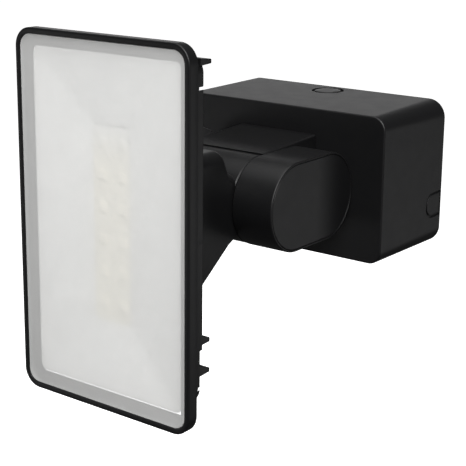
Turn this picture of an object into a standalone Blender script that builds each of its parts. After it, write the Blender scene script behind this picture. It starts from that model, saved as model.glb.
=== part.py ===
"""Wall-mounted LED floodlight: drafted wall box, pill-shaped arm and a tilting lamp head.

Blender 4.5 script, metres, +Z up.  The wall is the plane y = 0 and the lamp stands out from it
towards -Y, so "out" below means the distance from the wall and y = -out.
Three bodies: the wall box (fixed), the arm (swivels about the box's front axis) and the lamp
head (tilts about the arm's front axis).
"""

import math

import bmesh
import bpy
from mathutils import Matrix, Vector

# ---------------------------------------------------------------- driving dimensions (metres)
GAP = 0.0003                    # clearance between pieces that rest on each other

# wall box: half width (x), half height (z) and corner radius at its front and at the wall
BOX_DEPTH = 0.0733
BOX_FRONT = (0.0767, 0.0457, 0.0087)
BOX_BACK = (0.0781, 0.0471, 0.0116)
BOX_WALL = 0.0030
BOX_RIM_WALL = 0.0016
BOX_LEDGE_OUT = 0.0068
BOX_EDGE = 0.0009

PLATE_THICK = 0.0040
SEAL_THICK = 0.0022
SEAL_WIDTH = 0.0024

TOP_ENTRY = (-0.0015, 0.0148, 0.0106)      # x, out, radius of the knock-out in the top wall
SIDE_ENTRY_Z = -0.0195
SIDE_ENTRY_HALF = 0.0082
SIDE_ENTRY_OUT = 0.0190
SIDE_ENTRY_CORNER = 0.0075
REAR_ENTRY = (-0.0360, -0.0200, 0.0095)    # x, z, radius of the cable hole in the plate
COVER_SCREW_X = 0.0500
COVER_SCREW_OUT = 0.0125
LUG_TOP = -0.0340

# parts on the wall plate
DRIVER = (0.0, 0.0150, 0.0430, 0.0190)     # x, z, half length, half height
DRIVER_TOP_OUT = 0.0300
DRIVER_SCREW_X = 0.0475
DRIVER_EAR = 0.0025
EARTH = (-0.0100, -0.0230)
TERMINAL_CENTRE = (0.0220, -0.0250)
TERMINAL_HALF = (0.0165, 0.0090)
TERMINAL_TOP_OUT = 0.0200
TERMINAL_PITCH = 0.0100
WALL_SCREW_X = 0.0620
WALL_SCREW_Z = 0.0300

# arm: a bar with two round ends (seen from the side) that lies across the lamp
ARM_HALF = 0.0555
ARM_RADIUS = 0.0265
TILT_OUT = 0.1324               # tilt axis, distance from the wall
ARM_REAR_OUT = 0.1003           # centre of the arm's rear round end
ROOT_HALF = 0.0285              # half width of the arm's root block
ROOT_OUT = 0.0738               # root block's face against the box
ROOT_RISE = 0.0300              # half height of the root block at the box
ROOT_NOSE_RISE = 0.0268         # half height where the root block runs out on the arm
SLOT_HALF = 0.0288              # half width of the slot that takes the head's knuckle
SLOT_RADIUS = 0.0266
SLOT_TOP_OUT = TILT_OUT - 0.0030
SLOT_BOTTOM_OUT = TILT_OUT - 0.0153
CHEEK_INNER = 0.0320            # the arm's hollow ends begin here
CAP_THICK = 0.0026
CAP_INSET = 0.0012
ARM_WALL = 0.0030
SPIGOT_RADIUS = 0.0110
SPIGOT_BORE = 0.0075
SPIGOT_END_OUT = 0.0590
STOP_PIN_RADIUS = 0.0015
STOP_PIN_Z = -0.0215
STOP_SLOT = (0.0194, 0.0236)    # inner and outer radius of the slot the stop pin runs in
O_RING_RADIUS = 0.0162

# lamp head
HEAD_OUT = 0.2376               # front of the bezel
FRAME_HALF_X = 0.0609
FRAME_HALF_Z = 0.1034
FRAME_RADIUS = 0.0107
FRAME_DEPTH = 0.0070
FRAME_SCREW_X = 0.0545
FRAME_SCREW_Z = 0.0800
BEZEL = 0.0034
DIFFUSER_THICK = 0.0026
DIFFUSER_SET_BACK = 0.0004
DIFFUSER_RADIUS = 0.0073
LEDGE_OUT = HEAD_OUT - DIFFUSER_SET_BACK - DIFFUSER_THICK - 2 * GAP - 0.0008
HOUSING_FRONT_OUT = HEAD_OUT - FRAME_DEPTH - GAP
SCREW_SEAT_OUT = 0.2262
HOUSING_HALF_X = 0.0575
HOUSING_TOP = 0.0955
HOUSING_BOTTOM = -0.0885
HOUSING_REAR_OUT = 0.2216
HOUSING_LOW_OUT = 0.2242
FIN_TIP_OUT = 0.2156
FIN_TIP_HALF = 0.0012
FINS = ((0.0929, 0.0022, 0.0017), (0.0567, 0.0046, 0.0017),   # height of each rib's tip, then how
        (-0.0548, 0.0046, 0.0017), (-0.0719, 0.0046, 0.0017)) # far its root stands above and below
POCKET_FLOOR_OUT = 0.2252
BOARD_OUT = 0.2263
BOARD_THICK = 0.0012
KNUCKLE_HALF = 0.0276           # the neck, and the knuckle where its washers lie
KNUCKLE_RADIUS = 0.0262
WASHER_RADIUS = 0.0200
NECK_TOP = 0.0340
NECK_EDGE = 0.0075
PIVOT_RADIUS = 0.0060
CABLE_BORE = 0.0050

ROUND = 32                      # sides of a large round piece
SMALL_ROUND = 14                # sides of a small round piece


# ---------------------------------------------------------------- helpers
def clear_scene():
    for item in list(bpy.data.objects):
        bpy.data.objects.remove(item, do_unlink=True)


def material(name, colour, roughness, metallic=0.0):
    finish = bpy.data.materials.new(name)
    finish.use_nodes = True
    shader = finish.node_tree.nodes["Principled BSDF"]
    shader.inputs["Base Color"].default_value = (*colour, 1.0)
    shader.inputs["Roughness"].default_value = roughness
    shader.inputs["Metallic"].default_value = metallic
    finish.diffuse_color = (*colour, 1.0)
    return finish


def pivot(name, location, parent=None):
    empty = bpy.data.objects.new(name, None)
    bpy.context.collection.objects.link(empty)
    empty.location = Vector(location)
    if parent:
        empty.parent = parent
        empty.location = Vector(location) - parent.location
    return empty


def world_of(holder):
    """World place of a pivot: the sum of the places up its chain."""
    place = Vector((0.0, 0.0, 0.0))
    while holder:
        place += holder.location
        holder = holder.parent
    return place


def finish_object(name, mesh_builder, finish, holder=None, smooth=30.0):
    """Turn a bmesh given in world metres into a named object that hangs on its pivot."""
    mesh_builder.normal_update()
    bmesh.ops.recalc_face_normals(mesh_builder, faces=mesh_builder.faces)
    mesh_builder.transform(Matrix.Translation(-world_of(holder)))
    mesh = bpy.data.meshes.new(name)
    mesh_builder.to_mesh(mesh)
    mesh_builder.free()
    mesh.shade_smooth()
    mesh.set_sharp_from_angle(angle=math.radians(smooth))
    item = bpy.data.objects.new(name, mesh)
    bpy.context.collection.objects.link(item)
    item.parent = holder
    if finish:
        mesh.materials.append(finish)
    return item


def carve(item, cutters, operation="DIFFERENCE"):
    """Give an object one Boolean for each cutter, and keep the cutters out of the render."""
    for index, cutter in enumerate(cutters):
        step = item.modifiers.new(f"{operation.lower()}_{index}", "BOOLEAN")
        step.operation = operation
        step.solver = "EXACT"
        step.object = cutter
        cutter.hide_render = True
        cutter.display_type = "WIRE"


def rounded_rectangle(half_x, half_z, radius, steps=6, centre_z=0.0):
    """Corners as arcs, anticlockwise, as (x, z)."""
    points = []
    for sign_x, sign_z, start in ((1, 1, 0), (-1, 1, 90), (-1, -1, 180), (1, -1, 270)):
        for step in range(steps + 1):
            angle = math.radians(start + 90.0 * step / steps)
            x = sign_x * (half_x - radius) + radius * math.cos(angle)
            z = centre_z + sign_z * (half_z - radius) + radius * math.sin(angle)
            points.append((x, z))
    return points


def circle(radius, sides, centre=(0.0, 0.0), turn=0.0):
    angles = [math.tau * (step + turn) / sides for step in range(sides)]
    return [(centre[0] + radius * math.cos(a), centre[1] + radius * math.sin(a)) for a in angles]


def pill_profile(radius, inset=0.0, steps=18):
    """The arm's side outline as (out, z): two half circles joined by straight lines."""
    r = radius - inset
    points = []
    for step in range(steps + 1):
        angle = math.radians(-90.0 + 180.0 * step / steps)
        points.append((TILT_OUT + r * math.cos(angle), r * math.sin(angle)))
    for step in range(steps + 1):
        angle = math.radians(90.0 + 180.0 * step / steps)
        points.append((ARM_REAR_OUT + r * math.cos(angle), r * math.sin(angle)))
    return points


def skin(rings, hole_rings=None):
    """Close a stack of equal-length rings of 3-D points into one solid; a second stack is a bore."""
    build = bmesh.new()

    def side(stack):
        loops = [[build.verts.new(point) for point in ring] for ring in stack]
        for lower, upper in zip(loops, loops[1:]):
            count = len(lower)
            for i in range(count):
                j = (i + 1) % count
                build.faces.new((lower[i], lower[j], upper[j], upper[i]))
        return loops[0], loops[-1]

    first, last = side(rings)
    if hole_rings:
        hole_first, hole_last = side(hole_rings)
        for outer, inner in ((first, hole_first), (last, hole_last)):
            count = len(outer)
            for i in range(count):
                j = (i + 1) % count
                build.faces.new((outer[i], outer[j], inner[j], inner[i]))
    else:
        build.faces.new(first)
        build.faces.new(last)
    return build


def at_out(outline, out):
    """Place an (x, z) outline at a distance from the wall."""
    return [Vector((x, -out, z)) for x, z in outline]


def at_x(outline, x):
    """Place an (out, z) outline at a place across the lamp."""
    return [Vector((x, -out, z)) for out, z in outline]


def at_z(outline, z):
    """Place an (x, out) outline at a height."""
    return [Vector((x, -out, z)) for x, out in outline]


def slab(outline, out_from, out_to, hole=None):
    stack = [at_out(outline, out_from), at_out(outline, out_to)]
    bore = [at_out(hole, out_from), at_out(hole, out_to)] if hole else None
    return skin(stack, bore)


def bar(outline, x_from, x_to, hole=None):
    stack = [at_x(outline, x_from), at_x(outline, x_to)]
    bore = [at_x(hole, x_from), at_x(hole, x_to)] if hole else None
    return skin(stack, bore)


def post(outline, z_from, z_to):
    return skin([at_z(outline, z_from), at_z(outline, z_to)])


def block(x_range, out_range, z_range):
    outline = [(x_range[0], z_range[0]), (x_range[1], z_range[0]),
               (x_range[1], z_range[1]), (x_range[0], z_range[1])]
    return slab(outline, *out_range)


def cutter(name, build, holder=None):
    return finish_object(name, build, None, holder)


def blend(front, back, share):
    return tuple(a + (b - a) * share for a, b in zip(front, back))


def box_section(out, shrink=0.0):
    """The wall box's outline at a distance from the wall, its wall drawn in by shrink."""
    half_x, half_z, radius = blend(BOX_BACK, BOX_FRONT, out / BOX_DEPTH)
    return rounded_rectangle(half_x - shrink, half_z - shrink, max(radius - shrink, 0.001))


# ---------------------------------------------------------------- finishes
def make_finishes():
    return {
        "black": material("painted_black_aluminium", (0.020, 0.020, 0.021), 0.42),
        "box": material("moulded_black_plastic", (0.024, 0.024, 0.025), 0.50),
        "white": material("frosted_cover", (0.80, 0.80, 0.79), 0.55),
        "rubber": material("black_rubber", (0.015, 0.015, 0.015), 0.80),
        "steel": material("stainless_steel", (0.60, 0.60, 0.60), 0.30, 1.0),
        "blackened": material("blackened_steel", (0.030, 0.030, 0.032), 0.45, 0.8),
        "reflector": material("white_reflector", (0.85, 0.85, 0.85), 0.40),
        "board": material("white_circuit_board", (0.75, 0.76, 0.74), 0.45),
        "pad": material("grey_thermal_pad", (0.35, 0.37, 0.40), 0.90),
        "plate": material("zinc_plated_sheet", (0.45, 0.45, 0.46), 0.45, 1.0),
        "grey": material("light_grey_plastic", (0.55, 0.55, 0.54), 0.55),
        "nylon": material("natural_nylon", (0.70, 0.69, 0.64), 0.50),
    }


# ---------------------------------------------------------------- wall box
def make_box_cover(finish):
    """Hollow drafted box, open at the wall, with a ledge for its seal."""
    shoulder = BOX_DEPTH - BOX_EDGE
    sections = [at_out(box_section(0.0), 0.0), at_out(box_section(shoulder), shoulder),
                at_out(box_section(BOX_DEPTH, BOX_EDGE), BOX_DEPTH)]
    cover = finish_object("wall_box_cover", skin(sections), finish)
    hollow_end = BOX_DEPTH - BOX_WALL
    hollow = skin([at_out(box_section(BOX_LEDGE_OUT - 0.001, BOX_WALL), BOX_LEDGE_OUT - 0.001),
                   at_out(box_section(hollow_end, BOX_WALL), hollow_end)])
    recess = skin([at_out(box_section(0.0, BOX_RIM_WALL), -0.002),
                   at_out(box_section(BOX_LEDGE_OUT, BOX_RIM_WALL), BOX_LEDGE_OUT)])
    through = (BOX_DEPTH - 0.006, BOX_DEPTH + 0.002)
    swivel_hole = slab(circle(SPIGOT_RADIUS + 0.0004, ROUND), *through)
    pin_hole = slab(circle(STOP_PIN_RADIUS + GAP, SMALL_ROUND, (0.0, STOP_PIN_Z)), *through)
    x, out, radius = TOP_ENTRY
    top_hole = post(circle(radius, ROUND, (x, out)), 0.040, 0.050)
    side_hole = bar(side_entry_outline(0.0, -0.002), 0.070, 0.082)
    cutters = [cutter("cut_box_hollow", hollow), cutter("cut_box_recess", recess),
               cutter("cut_swivel_hole", swivel_hole), cutter("cut_stop_pin_hole", pin_hole),
               cutter("cut_top_entry", top_hole), cutter("cut_side_entry", side_hole)]
    for sign in (-1, 1):
        place = (sign * COVER_SCREW_X, COVER_SCREW_OUT)
        hole = post(circle(0.0022, SMALL_ROUND, place), -0.050, -0.040)
        cutters.append(cutter(f"cut_cover_screw_{sign}", hole))
    carve(cover, cutters)


def side_entry_outline(shrink, open_end):
    """Notch in the side wall as (out, z): straight from the wall's edge, round inner end."""
    half = SIDE_ENTRY_HALF - shrink
    corner = SIDE_ENTRY_CORNER - shrink
    middle = SIDE_ENTRY_OUT - SIDE_ENTRY_CORNER
    rise = half - corner
    points = [(open_end, -half)]
    for centre, start in ((-rise, -90.0), (rise, 0.0)):
        for step in range(7):
            angle = math.radians(start + 90.0 * step / 6)
            points.append((middle + corner * math.cos(angle), centre + corner * math.sin(angle)))
    points.append((open_end, half))
    return [(out, SIDE_ENTRY_Z + z) for out, z in points]


def side_entry_relief(name):
    """Room behind the side wall's tongue, cut from the plate and the seal."""
    reach = SIDE_ENTRY_HALF + GAP
    return cutter(name, block((BOX_BACK[0] - 0.0034, BOX_BACK[0] + 0.002), (-0.002, 0.010),
                              (SIDE_ENTRY_Z - reach, SIDE_ENTRY_Z + reach)))


def make_wall_plate(finish):
    """Flat plate that screws to the wall, with two lugs that take the cover's screws."""
    half_x = BOX_BACK[0] - BOX_RIM_WALL - GAP
    half_z = BOX_BACK[1] - BOX_RIM_WALL - GAP
    sheet = slab(rounded_rectangle(half_x, half_z, 0.0095), 0.0, PLATE_THICK)
    plate = finish_object("wall_plate", sheet, finish)
    lugs = []
    holes = []
    for sign in (-1, 1):
        centre = sign * COVER_SCREW_X
        lug = block((centre - 0.005, centre + 0.005), (PLATE_THICK - 0.002, 0.0175),
                    (-0.0425, LUG_TOP))
        lugs.append(cutter(f"add_plate_lug_{sign}", lug))
        hole = post(circle(0.0022, SMALL_ROUND, (centre, COVER_SCREW_OUT)), -0.046, -0.030)
        holes.append(cutter(f"cut_plate_lug_{sign}", hole))
        for height in (-WALL_SCREW_Z, WALL_SCREW_Z):
            place = (sign * WALL_SCREW_X, height)
            wall_hole = slab(circle(0.0026, SMALL_ROUND, place), -0.002, 0.008)
            holes.append(cutter(f"cut_wall_hole_{sign}_{height:+.2f}", wall_hole))
    x, z, radius = REAR_ENTRY
    holes.append(cutter("cut_rear_entry", slab(circle(radius, ROUND, (x, z)), -0.002, 0.008)))
    threads = ((-DRIVER_SCREW_X, DRIVER[1], 0.0015), (DRIVER_SCREW_X, DRIVER[1], 0.0015),
               (EARTH[0], EARTH[1], 0.0020))
    for place_x, place_z, thread in threads:
        thread_hole = slab(circle(thread + GAP, SMALL_ROUND, (place_x, place_z)), 0.0015, 0.008)
        holes.append(cutter(f"cut_thread_{place_x:+.3f}_{place_z:+.3f}", thread_hole))
    holes.append(side_entry_relief("cut_plate_side_relief"))
    carve(plate, lugs, "UNION")
    carve(plate, holes)


def make_box_seal(finish):
    """Foam ring between the wall plate and the cover's ledge."""
    out = PLATE_THICK + GAP
    half_x = BOX_BACK[0] - BOX_RIM_WALL - GAP
    half_z = BOX_BACK[1] - BOX_RIM_WALL - GAP
    outer = rounded_rectangle(half_x, half_z, 0.0095)
    inner = rounded_rectangle(half_x - SEAL_WIDTH, half_z - SEAL_WIDTH, 0.0095 - SEAL_WIDTH)
    ring = slab(outer, out, out + SEAL_THICK, inner)
    seal = finish_object("box_seal", ring, finish)
    gaps = []
    for sign in (-1, 1):
        centre = sign * COVER_SCREW_X
        room = block((centre - 0.006, centre + 0.006), (0.002, 0.012), (-0.0432, -0.030))
        gaps.append(cutter(f"cut_seal_lug_{sign}", room))
    gaps.append(side_entry_relief("cut_seal_side_relief"))
    carve(seal, gaps)


def make_top_knockout(finish):
    """Round push-out disc in the box's top wall: a thick middle with a thin rim around it."""
    x, out, radius = TOP_ENTRY
    top = box_top_at(out)
    disc = finish_object("top_cable_knockout",
                         post(circle(radius - GAP, ROUND, (x, out)), top - 0.0013, top - 0.0002), finish)
    groove = post(circle(radius + 0.0010, ROUND, (x, out)), top - 0.0008, top + 0.002)
    core = post(circle(radius - 0.0018, ROUND, (x, out)), top - 0.002, top + 0.003)
    ring = cutter("cut_knockout_groove", groove)
    carve(disc, [ring])
    carve(ring, [cutter("cut_knockout_core", core)])


def box_top_at(out):
    return blend(BOX_BACK, BOX_FRONT, out / BOX_DEPTH)[1]


def make_side_knockout(finish):
    """Breakable tongue that fills the notch in the side wall, thin where it clears the seal."""
    side = BOX_BACK[0]
    tongue = finish_object("side_cable_knockout",
                           bar(side_entry_outline(GAP, 0.0), side - 0.0030, side - 0.0006), finish)
    clear = block((side - 0.0045, side - 0.0011), (-0.001, 0.0042),
                  (SIDE_ENTRY_Z - 0.02, SIDE_ENTRY_Z + 0.02))
    carve(tongue, [cutter("cut_tongue_rim", clear)])


def make_rear_grommet(finish):
    """Rubber sleeve in the wall plate's cable entry, closed by a thin pierceable skin."""
    x, z, radius = REAR_ENTRY
    neck = radius - GAP
    flange = PLATE_THICK + GAP
    profile = [(neck, 0.0002), (neck, flange), (neck + 0.0022, flange), (neck + 0.0022, 0.0066),
               (neck - 0.0012, 0.0078)]
    rings = [at_out(circle(r, ROUND, (x, z)), out) for r, out in profile]
    sleeve = finish_object("rear_cable_grommet", skin(rings), finish)
    bore = slab(circle(neck - 0.0030, ROUND, (x, z)), -0.002, 0.0068)
    carve(sleeve, [cutter("cut_grommet_bore", bore)])


def make_driver(finish):
    """LED driver: a plastic box with two fixing ears."""
    x, z, half_x, half_z = DRIVER
    foot = PLATE_THICK + GAP
    body = slab(rounded_rectangle(half_x, half_z, 0.003, 4, z), foot, DRIVER_TOP_OUT)
    driver = finish_object("led_driver", body, finish)
    ears = slab(rounded_rectangle(DRIVER_SCREW_X + 0.0055, 0.0060, 0.0025, 4, z), foot,
                foot + DRIVER_EAR)
    holes = []
    for sign in (-1, 1):
        hole = slab(circle(0.0019, SMALL_ROUND, (sign * DRIVER_SCREW_X, z)), 0.0, 0.012)
        holes.append(cutter(f"cut_driver_ear_{sign}", hole))
    carve(driver, [cutter("add_driver_ears", ears)], "UNION")
    carve(driver, holes)


def make_terminal_block(finish):
    """Three-way terminal block with a screw well and a wire hole for each pole."""
    x, z = TERMINAL_CENTRE
    foot = PLATE_THICK + GAP
    top = TERMINAL_TOP_OUT
    half_x, half_z = TERMINAL_HALF
    body = block((x - half_x, x + half_x), (foot, top), (z - half_z, z + half_z))
    item = finish_object("terminal_block", body, finish)
    holes = []
    for index in (-1, 0, 1):
        pole = x + index * TERMINAL_PITCH
        well = slab(circle(0.0026, SMALL_ROUND, (pole, z)), 0.0110, top + 0.002)
        wire = post(circle(0.0019, SMALL_ROUND, (pole, 0.0085)), z - 0.012, z - 0.0015)
        holes.append(cutter(f"cut_terminal_well_{index}", well))
        holes.append(cutter(f"cut_terminal_wire_{index}", wire))
    carve(item, holes)


def screw(name, finish, place, direction, head, shank, holder=None):
    """Pan-head screw that points along direction: head and shank as (radius, length)."""
    head_radius, head_height = head
    shank_radius, length = shank
    profile = [(shank_radius * 0.6, length), (shank_radius, length - shank_radius * 0.8),
               (shank_radius, 0.0), (head_radius, 0.0), (head_radius, -head_height * 0.55),
               (head_radius * 0.72, -head_height)]
    turn = Vector(direction).to_track_quat("Z", "Y").to_matrix().to_4x4()
    seat = Matrix.Translation(Vector(place)) @ turn
    rings = []
    for radius, along in profile:
        rings.append([seat @ Vector((x, y, along)) for x, y in circle(radius, SMALL_ROUND)])
    return finish_object(name, skin(rings), finish, holder)


def make_box_screws(finishes):
    """The screws of the cover, the driver, the earth wire and the terminals."""
    cover_seat = -box_top_at(COVER_SCREW_OUT) - GAP
    driver_seat = PLATE_THICK + GAP + DRIVER_EAR + GAP
    for side, sign in (("left", -1), ("right", 1)):
        screw(f"cover_screw_{side}", finishes["blackened"],
              (sign * COVER_SCREW_X, -COVER_SCREW_OUT, cover_seat), (0, 0, 1),
              (0.0037, 0.0022), (0.0019, 0.0120))
        screw(f"driver_screw_{side}", finishes["steel"],
              (sign * DRIVER_SCREW_X, -driver_seat, DRIVER[1]), (0, 1, 0),
              (0.0030, 0.0018), (0.0015, 0.0048))
    screw("earth_screw", finishes["steel"], (EARTH[0], -(PLATE_THICK + 0.0016), EARTH[1]),
          (0, 1, 0), (0.0042, 0.0024), (0.0020, 0.0038))
    for index in (-1, 0, 1):
        x = TERMINAL_CENTRE[0] + index * TERMINAL_PITCH
        screw(f"terminal_screw_{index + 2}", finishes["steel"], (x, -0.0150, TERMINAL_CENTRE[1]),
              (0, 1, 0), (0.0022, 0.0020), (0.0014, 0.0036))


def make_stop_pin(finish):
    """Pin in the box's front wall that runs in the arm root's curved slot and ends the swivel."""
    pin = slab(circle(STOP_PIN_RADIUS, SMALL_ROUND, (0.0, STOP_PIN_Z)), BOX_DEPTH - BOX_WALL,
               BOX_DEPTH + 0.0030)
    finish_object("swivel_stop_pin", pin, finish)


# ---------------------------------------------------------------- arm
def arm_outline(inset=0.0):
    return pill_profile(ARM_RADIUS, inset)


def slot_outline():
    """The knuckle's slot as (out, z): open to the front, a round seat behind the tilt axis."""
    reach = 0.045
    top = math.degrees(math.acos((TILT_OUT - SLOT_TOP_OUT) / SLOT_RADIUS))
    bottom = math.degrees(math.acos((TILT_OUT - SLOT_BOTTOM_OUT) / SLOT_RADIUS))
    points = [(TILT_OUT + reach, reach), (SLOT_TOP_OUT, reach)]
    steps = 20
    for step in range(steps + 1):
        angle = math.radians(180.0 - top + (top + bottom) * step / steps)
        points.append((TILT_OUT + SLOT_RADIUS * math.cos(angle), SLOT_RADIUS * math.sin(angle)))
    points += [(SLOT_BOTTOM_OUT, -reach), (TILT_OUT + reach, -reach)]
    return points


def make_arm(finish, holder):
    """Arm casting: bar with round ends, root block, hollow ends and a hollow spigot."""
    edge = 0.0006
    body = skin([at_x(arm_outline(edge), -ARM_HALF), at_x(arm_outline(), -ARM_HALF + edge),
                 at_x(arm_outline(), ARM_HALF - edge), at_x(arm_outline(edge), ARM_HALF)])
    arm = finish_object("arm_casting", body, finish, holder)
    nose_out = TILT_OUT - 0.002
    root = [(ROOT_OUT, ROOT_RISE), (nose_out, ROOT_NOSE_RISE), (nose_out, -ROOT_NOSE_RISE),
            (ROOT_OUT, -ROOT_RISE)]
    root_block = cutter("add_arm_root", bar(root, -ROOT_HALF, ROOT_HALF), holder)
    tube = slab(circle(SPIGOT_RADIUS, ROUND), SPIGOT_END_OUT, ROOT_OUT + 0.010)
    spigot = cutter("add_arm_spigot", tube, holder)
    carve(arm, [root_block, spigot], "UNION")
    cuts = [cutter("cut_knuckle_slot", bar(slot_outline(), -SLOT_HALF, SLOT_HALF), holder)]
    for sign in (-1, 1):
        seat = bar(arm_outline(CAP_INSET), sign * (ARM_HALF - CAP_THICK - GAP),
                   sign * (ARM_HALF + 0.002))
        well = bar(arm_outline(ARM_WALL), sign * CHEEK_INNER, sign * ARM_HALF)
        bore = bar(circle(PIVOT_RADIUS + GAP, ROUND, (TILT_OUT, 0.0)), sign * 0.027, sign * 0.034)
        cuts += [cutter(f"cut_cap_seat_{sign}", seat, holder),
                 cutter(f"cut_arm_well_{sign}", well, holder),
                 cutter(f"cut_pivot_bore_{sign}", bore, holder)]
    cable = slab(circle(SPIGOT_BORE, ROUND), 0.050, 0.110)
    groove = slab(circle(O_RING_RADIUS + 0.0020, ROUND), ROOT_OUT - 0.002, ROOT_OUT + 0.0012,
                  circle(O_RING_RADIUS - 0.0020, ROUND))
    cuts += [cutter("cut_arm_cable_bore", cable, holder), cutter("cut_stop_slot", stop_slot(), holder),
             cutter("cut_o_ring_seat", groove, holder)]
    carve(arm, cuts)


def stop_slot():
    """Half ring in the root's face, a little more than half a turn, in which the stop pin runs."""
    inner, outer = STOP_SLOT
    play = 8.0
    sweep = 180.0 + 2 * play
    steps = 20
    angles = [math.radians(sweep * step / steps - 180.0 - play) for step in range(steps + 1)]
    points = [(outer * math.cos(a), outer * math.sin(a)) for a in angles]
    points += [(inner * math.cos(a), inner * math.sin(a)) for a in reversed(angles)]
    return slab(points, ROOT_OUT - 0.001, ROOT_OUT + 0.0032)


def make_end_caps(finish, holder):
    """Flat covers for the arm's hollow ends, each with a rim that drops into the arm."""
    for side, sign in (("left", -1), ("right", 1)):
        edge = 0.0004
        inner = sign * (ARM_HALF - CAP_THICK)
        profile = arm_outline(CAP_INSET + GAP)
        face = arm_outline(CAP_INSET + GAP + edge)
        lip = arm_outline(ARM_WALL + GAP)
        stack = [at_x(lip, inner - sign * 0.0030), at_x(lip, inner), at_x(profile, inner),
                 at_x(profile, sign * (ARM_HALF - edge)), at_x(face, sign * ARM_HALF)]
        cap = finish_object(f"arm_end_cap_{side}", skin(stack), finish, holder)
        relief = bar(arm_outline(ARM_WALL + 0.0020), inner - sign * 0.010, inner)
        carve(cap, [cutter(f"cut_cap_relief_{side}", relief, holder)])


def washer_on_axis(name, finish, holder, radius, x_range):
    """Washer on the tilt axis."""
    centre = (TILT_OUT, 0.0)
    ring = bar(circle(radius, ROUND, centre), *x_range, circle(PIVOT_RADIUS + GAP, ROUND, centre))
    return finish_object(name, ring, finish, holder)


def make_tilt_hardware(finishes, holder):
    """Pivot bolts, friction washers and spring washers on the tilt axis, one set per cheek."""
    centre = (TILT_OUT, 0.0)
    head_in = CHEEK_INNER + 0.0014 + GAP
    for side, sign in (("left", -1), ("right", 1)):
        washer_on_axis(f"friction_washer_{side}", finishes["nylon"], holder, WASHER_RADIUS,
                       (sign * (KNUCKLE_HALF + GAP), sign * (SLOT_HALF - GAP)))
        washer_on_axis(f"spring_washer_{side}", finishes["steel"], holder, 0.0105,
                       (sign * (CHEEK_INNER + GAP), sign * (CHEEK_INNER + 0.0014)))
        hexagon = circle(0.0100, 6, centre)
        stack = [at_x(circle(PIVOT_RADIUS - 0.0008, ROUND, centre), sign * 0.0150),
                 at_x(circle(PIVOT_RADIUS, ROUND, centre), sign * 0.0158),
                 at_x(circle(PIVOT_RADIUS, ROUND, centre), sign * (head_in + 0.001))]
        bolt = finish_object(f"pivot_bolt_{side}", skin(stack), finishes["steel"], holder)
        crown = bar(hexagon, sign * head_in, sign * (head_in + 0.0050))
        carve(bolt, [cutter(f"add_bolt_head_{side}", crown, holder)], "UNION")


def make_swivel_hardware(finishes, holder):
    """O-ring, slip washer and nut that hold the arm's spigot in the box's front wall."""
    build = bmesh.new()
    section = circle(0.0007, 8, (O_RING_RADIUS, ROOT_OUT + 0.0002))
    rings = []
    for step in range(ROUND):
        across, up = math.cos(math.tau * step / ROUND), math.sin(math.tau * step / ROUND)
        rings.append([build.verts.new((r * across, -out, r * up)) for r, out in section])
    for step in range(ROUND):
        here, there = rings[step], rings[(step + 1) % ROUND]
        for i in range(len(section)):
            j = (i + 1) % len(section)
            build.faces.new((here[i], here[j], there[j], there[i]))
    finish_object("swivel_o_ring", build, finishes["rubber"], holder)
    inside = BOX_DEPTH - BOX_WALL - GAP
    washer = slab(circle(0.0170, ROUND), inside - 0.0012, inside, circle(SPIGOT_RADIUS + GAP, ROUND))
    finish_object("swivel_slip_washer", washer, finishes["nylon"], holder)
    nut_out = inside - 0.0012 - GAP
    hexagon = slab(circle(0.0190, 6), nut_out - 0.0060, nut_out)
    nut = finish_object("swivel_nut", hexagon, finishes["plate"], holder)
    bore = slab(circle(SPIGOT_RADIUS + GAP, ROUND), nut_out - 0.008, nut_out + 0.002)
    carve(nut, [cutter("cut_nut_bore", bore, holder)])


# ---------------------------------------------------------------- lamp head
def make_front_frame(finish, holder):
    """Bezel ring with an inner ledge that carries the seal and the diffuser."""
    edge = 0.0008
    rear = HEAD_OUT - FRAME_DEPTH
    side = rounded_rectangle(FRAME_HALF_X, FRAME_HALF_Z, FRAME_RADIUS)
    face = rounded_rectangle(FRAME_HALF_X - edge, FRAME_HALF_Z - edge, FRAME_RADIUS - edge)
    stack = [at_out(side, rear), at_out(side, HEAD_OUT - edge), at_out(face, HEAD_OUT)]
    frame = finish_object("front_frame", skin(stack), finish, holder)
    half_x = FRAME_HALF_X - BEZEL
    half_z = FRAME_HALF_Z - BEZEL
    seat = slab(rounded_rectangle(half_x + GAP, half_z + GAP, DIFFUSER_RADIUS), LEDGE_OUT,
                HEAD_OUT + 0.002)
    window = slab(rounded_rectangle(half_x - 0.0050, half_z - 0.0050, 0.004), rear - 0.002,
                  HEAD_OUT)
    cuts = [cutter("cut_diffuser_seat", seat, holder), cutter("cut_frame_window", window, holder)]
    for index, (x, z) in enumerate(frame_screw_places()):
        hole = slab(circle(0.0014, SMALL_ROUND, (x, z)), rear - 0.001, rear + 0.0020)
        cuts.append(cutter(f"cut_frame_thread_{index}", hole, holder))
    carve(frame, cuts)


def frame_screw_places():
    """Six screws as (x, z), three up each side."""
    heights = (FRAME_SCREW_Z, 0.0, -FRAME_SCREW_Z)
    return [(sign * FRAME_SCREW_X, z) for sign in (-1, 1) for z in heights]


def make_diffuser(finish, holder):
    """Frosted cover, flat, with a small edge radius, set just behind the bezel's face."""
    half_x = FRAME_HALF_X - BEZEL
    half_z = FRAME_HALF_Z - BEZEL
    front = HEAD_OUT - DIFFUSER_SET_BACK
    edge = 0.0004
    side = rounded_rectangle(half_x, half_z, DIFFUSER_RADIUS)
    face = rounded_rectangle(half_x - edge, half_z - edge, DIFFUSER_RADIUS - edge)
    stack = [at_out(side, front - DIFFUSER_THICK), at_out(side, front - edge), at_out(face, front)]
    finish_object("diffuser", skin(stack), finish, holder)


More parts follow.
